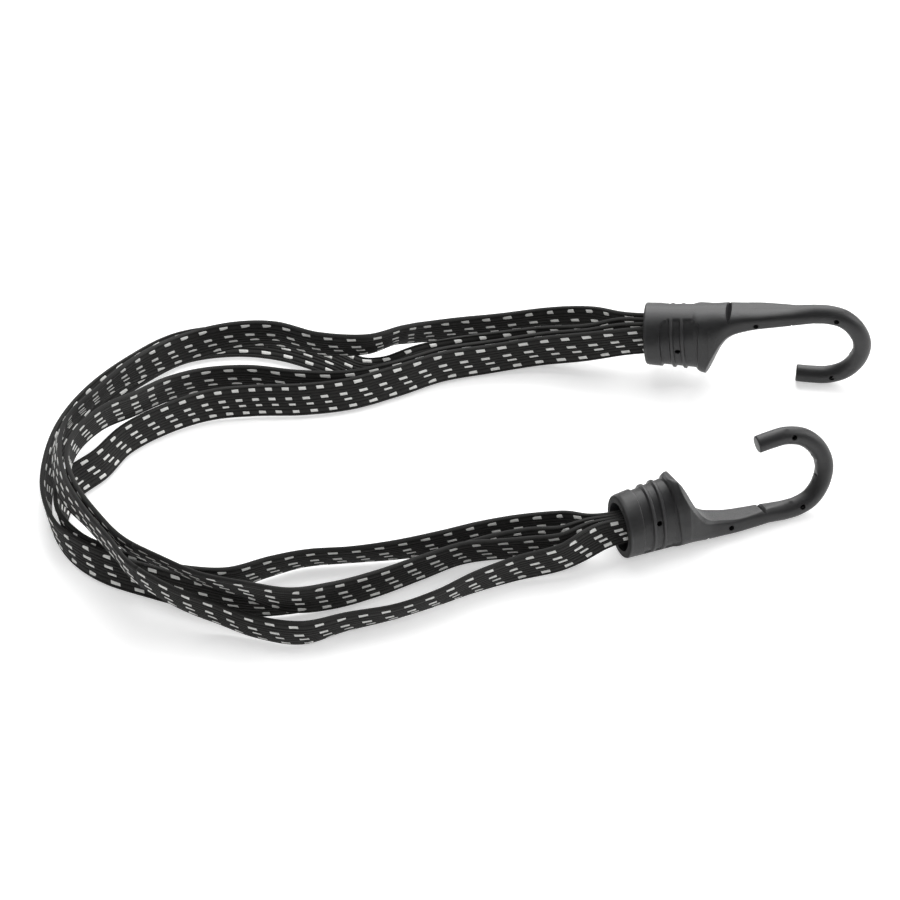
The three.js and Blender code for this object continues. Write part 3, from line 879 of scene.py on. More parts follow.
@dataclass
class StrapSurface:
    """Positions, directions and pattern coordinate along one strap."""

    route: Route
    weave: Weave
    rings: int = 430
    cup_smoothing: int = 25
    centre: np.ndarray = field(init=False)
    upright: np.ndarray = field(init=False)
    normal: np.ndarray = field(init=False)
    reach: np.ndarray = field(init=False)
    cup: np.ndarray = field(init=False)

    def __post_init__(self) -> None:
        """Samples the strap's centre line and its direction of width."""
        points, uprights = self._controls()
        line = Spline(points)
        share, length = line.even(self.rings)
        self.centre = line.at(share)
        self.reach = np.linspace(0.0, length, self.rings)
        tangent = unit(np.gradient(self.centre, axis=0))
        upright = Spline(uprights, exponent=0.0).at(share)
        upright -= tangent * (upright * tangent).sum(axis=1, keepdims=True)
        self.upright = unit(upright)
        self.normal = unit(np.cross(self.upright, tangent))
        self.cup = self._cups()

    def _controls(self) -> tuple[list, list]:
        """Points of the route with the strap's direction of width at each.

        Returns:
            Tuple of two lists: points in millimetres and unit vectors.
        """
        points, uprights = [], []
        far_up = FAR_POSE.axes()[1] * FAR_POSE.opens
        for depth, pitch in STRAP.far_fan:
            points.append(FAR_POSE.slot_point(self.route.far_slot, depth, pitch))
            uprights.append(far_up)
        stations = self.route.stations
        for k, (x, y, height, lean) in enumerate(stations):
            before, after = stations[max(k - 1, 0)], stations[min(k + 1, len(stations) - 1)]
            heading = unit(np.array([after[0] - before[0], after[1] - before[1], 0.0]))
            inward = np.array([-heading[1], heading[0], 0.0])
            tilt = math.radians(lean)
            up = np.array([0.0, 0.0, math.cos(tilt)]) + inward * math.sin(tilt)
            low = np.array([x, y, height * STRAP.width + STRAP.floor_gap + STRAP.thickness / 2.0])
            points.append(low + up * STRAP.width / 2.0)
            uprights.append(up)
        near_up = NEAR_POSE.axes()[1] * NEAR_POSE.opens
        for depth, pitch in reversed(STRAP.near_fan):
            points.append(NEAR_POSE.slot_point(self.route.near_slot, depth, pitch))
            uprights.append(near_up)
        return points, uprights

    def _ring_near(self, arm: Arm, x: float) -> int:
        """Ring of one arm nearest to a place along X of the photograph's frame.

        Args:
            arm: Length of the strap that is searched.
            x: Place in millimetres.

        Returns:
            Index of the ring.
        """
        halfway = int(np.argmin(self.centre[:, 0]))
        rings = np.arange(self.rings)
        arm_rings = rings[:halfway] if arm is Arm.FAR else rings[halfway:]
        return int(arm_rings[np.argmin(np.abs(self.centre[arm_rings, 0] - x))])

    def _cups(self) -> np.ndarray:
        """Bulge of the strap's middle, toward its inner face.

        Returns:
            Array with one value in millimetres for each ring.
        """
        marks = sorted((self._ring_near(arm, x), bulge) for arm, x, bulge in self.weave.cups)
        rings = [0] + [mark[0] for mark in marks] + [self.rings - 1]
        bulges = [0.0] + [mark[1] for mark in marks] + [0.0]
        plain = np.interp(np.arange(self.rings), rings, bulges)
        kernel = np.hanning(self.cup_smoothing)
        padded = np.pad(plain, self.cup_smoothing // 2, mode="edge")
        return np.convolve(padded, kernel / kernel.sum(), mode="valid")

    def periods(self) -> np.ndarray:
        """Pattern coordinate of each ring, one for each repeat of the dashes.

        Returns:
            Array with one value for each ring.
        """
        rate = np.full(self.rings, 1.0 / self.weave.period)
        for arm, x, spread, extra in self.weave.slack:
            off = (self.reach - self.reach[self._ring_near(arm, x)]) / spread
            rate = rate * (1.0 + extra * np.exp(-off ** 2))
        steps = np.diff(self.reach) * (rate[1:] + rate[:-1]) / 2.0
        return np.concatenate([[0.0], np.cumsum(steps)]) + self.weave.start

    def cut_ring(self) -> int:
        """Ring at which the strap changes from its far to its near length.

        Returns:
            Index of the ring.
        """
        x = (self.centre[:, 0] - MIDDLE[0]) * MM
        on_near_side = np.arange(self.rings) > self.rings // 2
        return int(np.argmax(on_near_side & (x > CUT_PLACE)))

    def offset(self, rings: np.ndarray, over: np.ndarray, height: np.ndarray) -> np.ndarray:
        """Points on or near the strap's faces.

        Args:
            rings: Ring positions, fractions allowed.
            over: Distance from the middle toward the upper edge, millimetres.
            height: Signed distance from the centre line's sheet, millimetres.

        Returns:
            Array of points in metres.
        """
        index = np.arange(self.rings)

        def read(table: np.ndarray) -> np.ndarray:
            """Values of a table at the ring positions."""
            return np.stack([np.interp(rings, index, table[:, k]) for k in range(3)], axis=-1)

        share = 2.0 * over / STRAP.width
        bulge = np.interp(rings, index, self.cup) * (2.0 / 3.0 - share ** 2)
        mouth = self.reach[-1] - STRAP.near_fan[0][0]
        left = mouth - np.interp(rings, index, self.reach)
        gathered = 1.0 - ramp(left, 0.0, STRAP.gather_length)
        width = over * (1.0 - STRAP.gather * gathered)
        placed = read(self.centre) + read(self.upright) * width[..., None]
        placed = placed + read(self.normal) * (height + bulge)[..., None]
        return (placed - MIDDLE) * MM


def strap_profile() -> tuple[np.ndarray, np.ndarray, np.ndarray]:
    """Section of a strap: ribs on both faces and rounded edges.

    Returns:
        Tuple of arrays: distance toward the upper edge, signed height, pattern coordinate across.
    """
    half = STRAP.width / 2.0
    ribs = len(STRAP.rib_edges) - 1
    number = np.linspace(0.0, ribs, ribs * STRAP.rib_steps + 1)
    within = number % 1.0
    share = np.interp(number, np.arange(ribs + 1), STRAP.rib_edges)
    over = half - share * STRAP.width
    height = STRAP.thickness / 2.0 - STRAP.rib_depth * np.abs(2.0 * within - 1.0) ** STRAP.rib_crown
    near_edge = np.clip((np.abs(over) - (half - STRAP.edge_rounding)) / STRAP.edge_rounding, 0.0, 1.0)
    height = height * np.sqrt(np.maximum(1.0 - near_edge ** 2, 0.0))
    pattern = number / ribs
    around_over = np.concatenate([over[:-1], over[::-1][:-1]])
    around_height = np.concatenate([height[:-1], -height[::-1][:-1]])
    around_pattern = np.concatenate([pattern[:-1], 1.0 + pattern[:-1]])
    return around_over, around_height, around_pattern


@dataclass
class Tracers:
    """White dashes of one strap length, placed on points by Geometry Nodes."""

    name: str
    surface: StrapSurface
    first: int
    last: int
    seed: int

    def points(self) -> tuple[np.ndarray, np.ndarray, np.ndarray, np.ndarray]:
        """Places of the dashes.

        Returns:
            Tuple of arrays: points, surface normals, directions along the strap, sizes.
        """
        surface = self.surface
        phase = surface.periods()
        ring = np.arange(surface.rings)
        rows = []
        for face in (1.0, -1.0):
            for row, rib in enumerate(STRAP.tracer_ribs):
                upper, lower = STRAP.rib_edges[rib], STRAP.rib_edges[rib + 1]
                breadth = (lower - upper) * STRAP.width * STRAP.tracer_breadth[row]
                over = STRAP.width / 2.0 - (upper + lower) / 2.0 * STRAP.width
                shift = -face * row * STRAP.row_shift
                low, high = phase[self.first], phase[self.last]
                whole = np.arange(math.floor(low) - 2, math.ceil(high) + 3)
                marks = whole + shift + STRAP.back_shift * (face < 0)
                marks = marks[(marks > low) & (marks <= high)]
                rings = np.interp(marks, phase, ring)
                count = len(rings)
                rows.append((rings, np.full(count, over), np.full(count, face), np.full(count, breadth)))
        rings, over, face, breadth = (np.concatenate(column) for column in zip(*rows))
        crest = face * STRAP.thickness / 2.0
        places = surface.offset(rings, over, crest)
        above = surface.offset(rings, over, crest + face)
        ahead = surface.offset(rings + 0.5, over, crest) - surface.offset(rings - 0.5, over, crest)
        stretch = np.interp(rings, ring, 1.0 / np.gradient(phase, surface.reach))
        size = np.stack([STRAP.dash_share * stretch * MM, breadth, np.ones(len(rings))], axis=-1)
        return places, unit(above - places), unit(ahead), size

    def build(self, patch: bpy.types.Object) -> bpy.types.Object:
        """Makes the dashes of this length as one mesh.

        Args:
            patch: Object holding one dash of unit length and width.

        Returns:
            The new object.
        """
        places, normals, ahead, size = self.points()
        holder = new_object(self.name, places, [], smooth=False)
        for label, table in (("normal_to", normals), ("ahead_to", ahead), ("reach", size)):
            column = holder.data.attributes.new(label, "FLOAT_VECTOR", "POINT")
            column.data.foreach_set("vector", np.ascontiguousarray(table, dtype=np.float32).ravel())
        modifier = holder.modifiers.new("dashes", "NODES")
        modifier.node_group = TracerTree.shared(FINISHES["tracer"])
        for item in modifier.node_group.interface.items_tree:
            if item.in_out == "INPUT" and item.name == "Patch":
                modifier[item.identifier] = patch
            elif item.in_out == "INPUT" and item.name == "Seed":
                modifier[item.identifier] = self.seed
        apply_modifiers(holder)
        holder.data.polygons.foreach_set("use_smooth", [True] * len(holder.data.polygons))
        return holder


class TracerTree:
    """Geometry Nodes tree that sets one dash on every point."""

    made = None
    length_jitter = 0.07

    @classmethod
    def shared(cls, material: bpy.types.Material) -> bpy.types.NodeTree:
        """The tree, built on first use.

        Args:
            material: Material of the dashes.

        Returns:
            The node group.
        """
        if cls.made is None:
            cls.made = cls._build(material)
        return cls.made

    @classmethod
    def _build(cls, material: bpy.types.Material) -> bpy.types.NodeTree:
        """Builds the node group.

        Args:
            material: Material of the dashes.

        Returns:
            The node group.
        """
        group = bpy.data.node_groups.new("tracer_dashes", "GeometryNodeTree")
        face = group.interface
        face.new_socket("Geometry", in_out="INPUT", socket_type="NodeSocketGeometry")
        face.new_socket("Patch", in_out="INPUT", socket_type="NodeSocketObject")
        face.new_socket("Seed", in_out="INPUT", socket_type="NodeSocketInt")
        jitter = face.new_socket("Length jitter", in_out="INPUT", socket_type="NodeSocketFloat")
        jitter.default_value = cls.length_jitter
        face.new_socket("Geometry", in_out="OUTPUT", socket_type="NodeSocketGeometry")
        nodes, links = group.nodes, group.links

        def add(kind: str, **settings: object) -> bpy.types.Node:
            """Adds a node.

            Args:
                kind: Node type.
                **settings: Properties of the node.

            Returns:
                The node.
            """
            node = nodes.new(kind)
            for key, setting in settings.items():
                setattr(node, key, setting)
            return node

        def named(label: str) -> bpy.types.NodeSocket:
            """Reads a vector attribute of the points.

            Args:
                label: Name of the attribute.

            Returns:
                Socket that gives the attribute.
            """
            node = add("GeometryNodeInputNamedAttribute", data_type="FLOAT_VECTOR")
            node.inputs["Name"].default_value = label
            return node.outputs["Attribute"]

        given = add("NodeGroupInput")
        result = add("NodeGroupOutput")
        source = add("GeometryNodeObjectInfo", transform_space="ORIGINAL")
        links.new(given.outputs["Patch"], source.inputs["Object"])
        upward = add("FunctionNodeAlignRotationToVector", axis="Z")
        links.new(named("normal_to"), upward.inputs["Vector"])
        turned = add("FunctionNodeAlignRotationToVector", axis="X", pivot_axis="Z")
        links.new(upward.outputs["Rotation"], turned.inputs["Rotation"])
        links.new(named("ahead_to"), turned.inputs["Vector"])
        spread = add("FunctionNodeRandomValue", data_type="FLOAT")
        links.new(given.outputs["Seed"], spread.inputs["Seed"])
        limits = [socket for socket in spread.inputs if socket.type == "VALUE" and socket.enabled]
        for operation, limit in zip(("SUBTRACT", "ADD"), limits):
            bound = add("ShaderNodeMath", operation=operation)
            bound.inputs[0].default_value = 1.0
            links.new(given.outputs["Length jitter"], bound.inputs[1])
            links.new(bound.outputs[0], limit)
        chosen = [socket for socket in spread.outputs if socket.enabled][0]
        longer = add("ShaderNodeCombineXYZ")
        links.new(chosen, longer.inputs[0])
        longer.inputs[1].default_value = 1.0
        longer.inputs[2].default_value = 1.0
        scale = add("ShaderNodeVectorMath", operation="MULTIPLY")
        links.new(named("reach"), scale.inputs[0])
        links.new(longer.outputs[0], scale.inputs[1])
        placed = add("GeometryNodeInstanceOnPoints")
        links.new(given.outputs["Geometry"], placed.inputs["Points"])
        links.new(source.outputs["Geometry"], placed.inputs["Instance"])
        links.new(turned.outputs["Rotation"], placed.inputs["Rotation"])
        links.new(scale.outputs[0], placed.inputs["Scale"])
        real = add("GeometryNodeRealizeInstances")
        links.new(placed.outputs["Instances"], real.inputs["Geometry"])
        dressed = add("GeometryNodeSetMaterial")
        dressed.inputs["Material"].default_value = material
        links.new(real.outputs["Geometry"], dressed.inputs["Geometry"])
        links.new(dressed.outputs["Geometry"], result.inputs["Geometry"])
        return group


@dataclass(frozen=True)
class DashForm:
    """One dash: a low pad of unit length along X and one millimetre broad, its ends cut on the slant."""

    over: tuple = (-0.49, -0.42, -0.26, 0.0, 0.26, 0.42, 0.49)
    crown: tuple = (-0.19, -0.05, 0.03, 0.06, 0.03, -0.05, -0.19)
    stations: tuple = (-0.5, -0.49, -0.46, -0.2, 0.0, 0.2, 0.46, 0.49, 0.5)
    drop: tuple = (-0.14, -0.02, 0.0, 0.0, 0.0, 0.0, 0.0, -0.02, -0.14)
    slant: float = 0.11
    foot: float = -0.34

    def build(self) -> bpy.types.Object:
        """Makes the source object, taken away once the dashes are made.

        Returns:
            The source object.
        """
        vertices, coordinates = [], []
        for along, lower in zip(self.stations, self.drop):
            upper_side = [(side, height + lower) for side, height in zip(self.over, self.crown)]
            lower_side = [(side, self.foot) for side in self.over[::-1][1:-1]]
            for side, height in upper_side + lower_side:
                vertices.append((along - self.slant * side, side * MM, height * MM))
                coordinates.append((along, side, 0.0))
        count = len(vertices) // len(self.stations)
        patch = new_object("dash_source", vertices, ring_faces(len(self.stations), count))
        orient_outward(patch)
        column = patch.data.attributes.new("dash", "FLOAT_VECTOR", "POINT")
        column.data.foreach_set("vector", np.array(coordinates, dtype=np.float32).ravel())
        return patch


@dataclass
class Strap:
    """One ribbed elastic strap, modelled in a far and a near length.

    The path worked out for each length takes one ring in every path step.
    """

    node: str
    route: Route
    weave: Weave
    seed: int
    path_step: int = 3
    pieces: dict = field(default_factory=dict)

    def build(self, patch: bpy.types.Object) -> None:
        """Makes both lengths and their dashes.

        Args:
            patch: Source object of one dash.
        """
        surface = StrapSurface(self.route, self.weave)
        cut = surface.cut_ring()
        spans = {Arm.FAR: (0, cut), Arm.NEAR: (cut, surface.rings - 1)}
        for arm, (first, last) in spans.items():
            webbing = self._length(surface, arm, first, last)
            tracers = Tracers(f"{self.node}_tracers_{arm.value}", surface, first, last, self.seed)
            self.pieces[arm] = (webbing, tracers.build(patch))
            self._attach(surface, arm, first, last)
        for webbing, _ in self.pieces.values():
            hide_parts(self.node)

    def dress(self) -> None:
        """Gives both lengths the webbing's finish; the dashes have theirs from their tree."""
        for webbing, _ in self.pieces.values():
            webbing.data.materials.append(FINISHES["webbing"])

    def _length(self, surface: StrapSurface, arm: Arm, first: int, last: int) -> bpy.types.Object:
        """Makes the webbing mesh of one length with its pattern coordinates.

        Args:
            surface: Surface of the whole strap.
            arm: Length that is made.
            first: First ring of the length.
            last: Last ring of the length.

        Returns:
            The webbing's object.
        """
        over, height, pattern = strap_profile()
        rings = np.arange(first, last + 1)
        count = len(over)
        grid = np.repeat(rings[:, None].astype(float), count, axis=1)
        across, lifted = (np.broadcast_to(values, grid.shape) for values in (over, height))
        vertices = surface.offset(grid, across, lifted).reshape(-1, 3)
        made = new_object(f"{self.node}_{arm.value}", vertices, ring_faces(len(rings), count))
        phase = surface.periods()[rings]
        layer = made.data.uv_layers.new(name="weave")
        values = np.zeros((len(made.data.loops), 2), dtype=np.float32)
        indices = np.zeros(len(made.data.loops), dtype=np.int64)
        made.data.loops.foreach_get("vertex_index", indices)
        values[:, 0] = np.repeat(phase, count)[indices]
        values[:, 1] = np.tile(pattern, len(rings))[indices]
        quads = 4 * (len(rings) - 1) * count
        corner = values[:quads, 1].reshape(-1, 4)
        seam = corner.max(axis=1) - corner.min(axis=1) > 1.0
        corner[seam] = np.where(corner[seam] < 0.5, corner[seam] + 2.0, corner[seam])
        layer.data.foreach_set("uv", values.ravel())
        orient_outward(made)
        return made

    def _attach(self, surface: StrapSurface, arm: Arm, first: int, last: int) -> None:
        """Ties the far length to the cord's body and bakes the near length's placement into its mesh.

        Args:
            surface: Surface of the whole strap.
            arm: Length that is tied.
            first: First ring of the length.
            last: Last ring of the length.
        """
        webbing, dashes = self.pieces[arm]
        if arm is Arm.FAR:
            for piece in (webbing, dashes):
                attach(piece, Body.CORD.value)
        else:
            for piece in (webbing, dashes):
                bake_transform(piece)
        path = (surface.centre[first:last + 1:self.path_step] - MIDDLE) * MM
        path = np.vstack([path, (surface.centre[last:last + 1] - MIDDLE) * MM])
        if arm is Arm.NEAR:
            path = path[::-1]
        length = float((surface.reach[last] - surface.reach[first]) * MM)


@dataclass
class HookShape:
    """Fine mesh of the moulded hook in its own frame: along, from the spine, across.

    Turns are shares of a quarter circle at which the rim and the tip have a ring, and steps are the
    distances in millimetres between rings of the socket.
    """

    sizes: HookSizes = HOOK
    points: int = 144
    rim_turns: tuple = (0.0, 0.3, 0.65, 1.0)
    tip_turns: tuple = (0.35, 0.7, 1.0)
    collar_step: float = 0.5
    grip_step: float = 0.16
    shank_rings: int = 170
    loop_rings: int = 110
    cavity_rings: int = 90
    bore_facets: int = 72
    cavity_facets: int = 24
    pin_facets: int = 28
    vertices: np.ndarray = field(init=False)
    faces: list = field(init=False)

    def __post_init__(self) -> None:
        """Cuts the shape once; both hooks are placed copies of it."""
        rings = self._rim() + self._socket() + self._shank() + self._loop()
        self.vertices, self.faces = np.concatenate(rings), ring_faces(len(rings), self.points)
        self._carve()

    def _turns(self) -> np.ndarray:
        """Turn of each point of a ring."""
        return 2.0 * math.pi * np.arange(self.points) / self.points

    def _ring(
        self,
        along: float,
        inner: float,
        half: float,
        squareness: float,
        cut: float = 0.0,
        flat: float | None = None,
    ) -> np.ndarray:
        """One ring of the body with its flat inner side, the bevel beside it and the sunken grip.

        Args:
            along: Distance behind the mouth.
            inner: Distance of the inner side from the spine.
            half: Half width.
            squareness: Power of the rounded outline, 2 for a plain oval.
            cut: Share of the depth that the flat inner side cuts off.
            flat: Half width of that flat, or None for a ring without bevels.

        Returns:
            Array of points.
        """
        sizes = self.sizes
        angle = self._turns()
        exponent = 2.0 / squareness
        full = inner * (1.0 + cut)
        y = full / 2.0 + np.sign(np.cos(angle)) * np.abs(np.cos(angle)) ** exponent * full / 2.0
        z = np.sign(np.sin(angle)) * np.abs(np.sin(angle)) ** exponent * half
        mouth = 2.0 * sizes.mouth_radius
        bulge = max(inner - mouth, 0.0) / (sizes.socket_inner_end - mouth)
        z = z * (1.0 - sizes.heel_narrowing * bulge * (1.0 + np.cos(angle)) / 2.0)
        if cut > 0.0:
            y = inner - sizes.flat_softness * np.logaddexp(0.0, (inner - y) / sizes.flat_softness)
        if flat is not None:
            room = flat + (inner - y) * sizes.bevel_slope - np.abs(z)
            z = np.sign(z) * (np.abs(z) + np.minimum(room, 0.0))
        centre = inner / 2.0
        depth = self._grip(along, angle) * sizes.grip_depth
        reach = np.hypot(y - centre, z)
        y = centre + (y - centre) * (1.0 - depth / reach)
        z = z * (1.0 - depth / reach)
        return np.stack([np.full(self.points, along), y, z], axis=-1)

    def _grip(self, along: float, angle: np.ndarray) -> np.ndarray:
        """Share of the grip's full depth at each point of a ring.

        Args:
            along: Distance of the ring behind the mouth.
            angle: Turn of each point.

        Returns:
            Array of shares, 0 outside the sunken fields.
        """
        sizes = self.sizes
        from_spine = np.abs(np.arctan2(np.sin(angle), -np.cos(angle))) * sizes.mouth_radius
        lean = sizes.grip_end_lean * (1.0 - from_spine / (math.pi * sizes.mouth_radius))
        end = sizes.grip_end + lean
        half = (end - sizes.grip_start + sizes.grip_flank) / 2.0
        middle = (end + sizes.grip_start - sizes.grip_flank) / 2.0
        dx = np.abs(along - middle) - (half - sizes.grip_corner)
        dy = (sizes.spine_band_angle * sizes.mouth_radius + sizes.grip_corner) - from_spine
        outside = np.hypot(np.maximum(dx, 0.0), np.maximum(dy, 0.0))
        distance = outside + np.minimum(np.maximum(dx, dy), 0.0) - sizes.grip_corner
        sunk = 1.0 - ramp(distance, -sizes.grip_flank, 0.0)
        for k in range(1, sizes.ridge_count + 1):
            off = abs(along - (sizes.grip_start + k * sizes.ridge_pitch)) - sizes.ridge_width / 2.0
            sunk = sunk * float(ramp(np.array(off), 0.0, sizes.grip_flank))
        return sunk

    def _rim(self) -> list:
        """Rounded edge of the mouth.

        Returns:
            List of rings.
        """
        sizes = self.sizes
        rings = []
        for share in self.rim_turns:
            turn = share * math.pi / 2.0
            along = sizes.rim_chamfer * (1.0 - math.cos(turn))
            shrink = 1.0 + sizes.rim_flare - sizes.rim_chamfer * (1.0 - math.sin(turn)) / sizes.mouth_radius
            ring = self._ring(along, 2.0 * sizes.mouth_radius, sizes.mouth_radius, 2.0)
            centre = np.array([along, sizes.mouth_radius, 0.0])
            rings.append(centre + (ring - centre) * shrink)
        return rings

    def _socket(self) -> list:
        """Socket from the rim to the first body section.

        Returns:
            List of rings.
        """
        sizes = self.sizes
        mouth = 2.0 * sizes.mouth_radius
        first, _, half_end, square_end = sizes.body_sections[0][:4]
        collar = sizes.grip_start - 1.0
        coarse = np.arange(1.0, collar, self.collar_step)
        fine = np.arange(collar, first, self.grip_step)
        rings = []
        for along in np.concatenate([coarse, fine]):
            inner = mouth + (sizes.socket_inner_end - mouth) * along / first
            half = sizes.mouth_radius + (half_end - sizes.mouth_radius) * along / first
            ring = self._ring(along, inner, half, 2.0 + (square_end - 2.0) * along / first)
            centre = np.array([along, inner / 2.0, 0.0])
            rings.append(centre + (ring - centre) * (1.0 + sizes.rim_flare * (1.0 - along / first)))
        return rings

    def _shank(self) -> list:
        """Heel and wide flat shank, as a list of rings."""
        rows = Spline(self.sizes.body_sections).at(np.linspace(0.0, 1.0, self.shank_rings))
        return [self._ring(*row[:4], max(row[4], 0.0), row[5]) for row in rows]

    def _loop(self) -> list:
        """Round rod of the loop with its flash marks, and its blunt tip.

        Returns:
            List of rings.
        """
        sizes = self.sizes
        curve = Spline([(x, y, 0.0) for x, y in sizes.loop_centre])
        share, _ = curve.even(self.loop_rings)
        places = curve.at(share)
        tangents, outward = plane_directions(places)
        angle = self._turns()
        rings = []
        for step, (place, out) in enumerate(zip(places, outward)):
            radius = sizes.rod_radius + (sizes.tip_radius - sizes.rod_radius) * step / (len(places) - 1)
            radius = radius + self._flash(step / (len(places) - 1), angle)
            rings.append(rod_ring(place, out, radius, angle))
        last, tip, ahead = rings[-1], places[-1], tangents[-1]
        for share in self.tip_turns:
            turn = share * math.pi / 2.0
            shrink = 1.0 - sizes.tip_rounding * (1.0 - math.cos(turn)) / sizes.tip_radius
            rings.append(tip + (last - tip) * shrink + ahead * sizes.tip_rounding * math.sin(turn))
        return rings

    def _flash(self, share: float, angle: np.ndarray) -> np.ndarray:
        """Small raised marks of the mould on the loop.

        Args:
            share: Place of the ring as a share of the loop.
            angle: Turn of each point.

        Returns:
            Array with the height of each point over the plain rod.
        """
        sizes = self.sizes
        lift = np.zeros(len(angle))
        for place, turn, height in sizes.flash_marks:
            along = (share - place) * sizes.flash_loop_length
            around = (np.mod(angle - turn + math.pi, 2.0 * math.pi) - math.pi) * sizes.flash_rod_radius
            lift = lift + height * np.exp(-(np.hypot(along, around) / sizes.flash_spread) ** 2)
        return lift

    def _cutters(self) -> list:
        """Closed bodies that are taken out of the skin.

        Returns:
            List of tuples of points and faces: bore, wire channel, pin holes, notches, crown seat.
        """
        sizes = self.sizes
        bore_ends = [(-sizes.bore_lead, sizes.mouth_radius), (sizes.bore_depth, sizes.mouth_radius)]
        curve = Spline([(x, y, 0.0) for x, y in sizes.core_lead + sizes.loop_centre])
        share, length = curve.even(self.cavity_rings)
        core = curve.at(share * (1.0 - sizes.cavity_tip_inset / length))[:, :2]
        cutters = [
            self._tube(bore_ends, sizes.bore_radius, self.bore_facets),
            self._tube(core, sizes.cavity_radius, self.cavity_facets),
        ]
        cutters += [self._drill(x, y, 1.0) for x, y in sizes.front_pin_holes]
        cutters += [self._drill(x, y, -1.0) for x, y in sizes.back_pin_holes]
        cutters += [self._wedge(*notch) for notch in sizes.notches]
        cutters.append(self._block(*sizes.seat_block))
        return cutters

    @staticmethod
    def _tube(places: list | np.ndarray, radius: float, facets: int) -> tuple:
        """Tube in the mid-plane.

        Args:
            places: Points that it runs through: along, from the spine.
            radius: Radius of the tube.
            facets: Number of its sides.

        Returns:
            Tuple of points and faces.
        """
        places = np.array([(x, y, 0.0) for x, y in places])
        _, outward = plane_directions(places)
        angle = 2.0 * math.pi * (np.arange(facets) + 0.5) / facets
        rings = [rod_ring(place, out, radius, angle) for place, out in zip(places, outward)]
        return np.concatenate(rings), ring_faces(len(rings), facets)

    def _drill(self, along: float, from_spine: float, side: float) -> tuple:
        """Blind mould pin hole from one face.

        Args:
            along: Distance behind the mouth.
            from_spine: Distance from the spine.
            side: 1 for the front face, -1 for the back face.

        Returns:
            Tuple of points and faces.
        """
        sizes = self.sizes
        angle = 2.0 * math.pi * (np.arange(self.pin_facets) + 0.5) / self.pin_facets
        x = along + sizes.pin_hole_radius * np.cos(angle)
        y = from_spine + sizes.pin_hole_radius * np.sin(angle)
        depths = (sizes.pin_hole_floor, 2.0 * sizes.mouth_radius)
        rings = [np.stack([x, y, np.full(self.pin_facets, side * depth)], axis=-1) for depth in depths]
        return np.concatenate(rings), ring_faces(len(rings), self.pin_facets)

    def _wedge(self, along: float, edge: float, depth: float, half: float) -> tuple:
        """Wedge across the hook that cuts a V-shaped notch.

        Args:
            along: Distance of the notch behind the mouth.
            edge: Distance of the notched edge from the spine.
            depth: Depth of the notch, negative from the inner edge.
            half: Half width of the notch.

        Returns:
            Tuple of points and faces.
        """
        reach = self.sizes.wedge_reach
        corners = [(along, edge + depth), (along - 2 * half, edge - depth), (along + 2 * half, edge - depth)]
        vertices = np.array([(x, y, z) for z in (-reach, reach) for x, y in corners])
        faces = [(0, 1, 2), (3, 5, 4), (0, 3, 4, 1), (1, 4, 5, 2), (2, 5, 3, 0)]
        return vertices, faces

    @staticmethod
    def _block(low: tuple, high: tuple) -> tuple:
        """Plain block that cuts the flat seat inside the loop's crown.

        Args:
            low: Corner with the lowest coordinates.
            high: Corner with the highest coordinates.

        Returns:
            Tuple of points and faces.
        """
        x, y, z = zip(low, high)
        vertices = np.array([(a, b, c) for a in x for b in y for c in z])
        faces = [(0, 1, 3, 2), (4, 6, 7, 5), (0, 4, 5, 1), (2, 3, 7, 6), (0, 2, 6, 4), (1, 5, 7, 3)]
        return vertices, faces

    def _carve(self) -> None:
        """Takes the cutters out of the skin."""
        made = new_object("hook_source", self.vertices, self.faces)
        orient_outward(made)
        cutters = []
        for number, (vertices, faces) in enumerate(self._cutters()):
            cutter = new_object(f"cutter_{number}", vertices, faces)
            orient_outward(cutter)
            modifier = made.modifiers.new(cutter.name, "BOOLEAN")
            modifier.operation = "DIFFERENCE"
            modifier.solver = "MANIFOLD"
            modifier.object = cutter
            cutters.append(cutter)
        apply_modifiers(made)
        for cutter in cutters:
            discard(cutter)
        table = np.zeros(len(made.data.vertices) * 3)
        made.data.vertices.foreach_get("co", table)
        self.vertices = table.reshape(-1, 3)
        self.faces = [tuple(polygon.vertices) for polygon in made.data.polygons]
        discard(made)


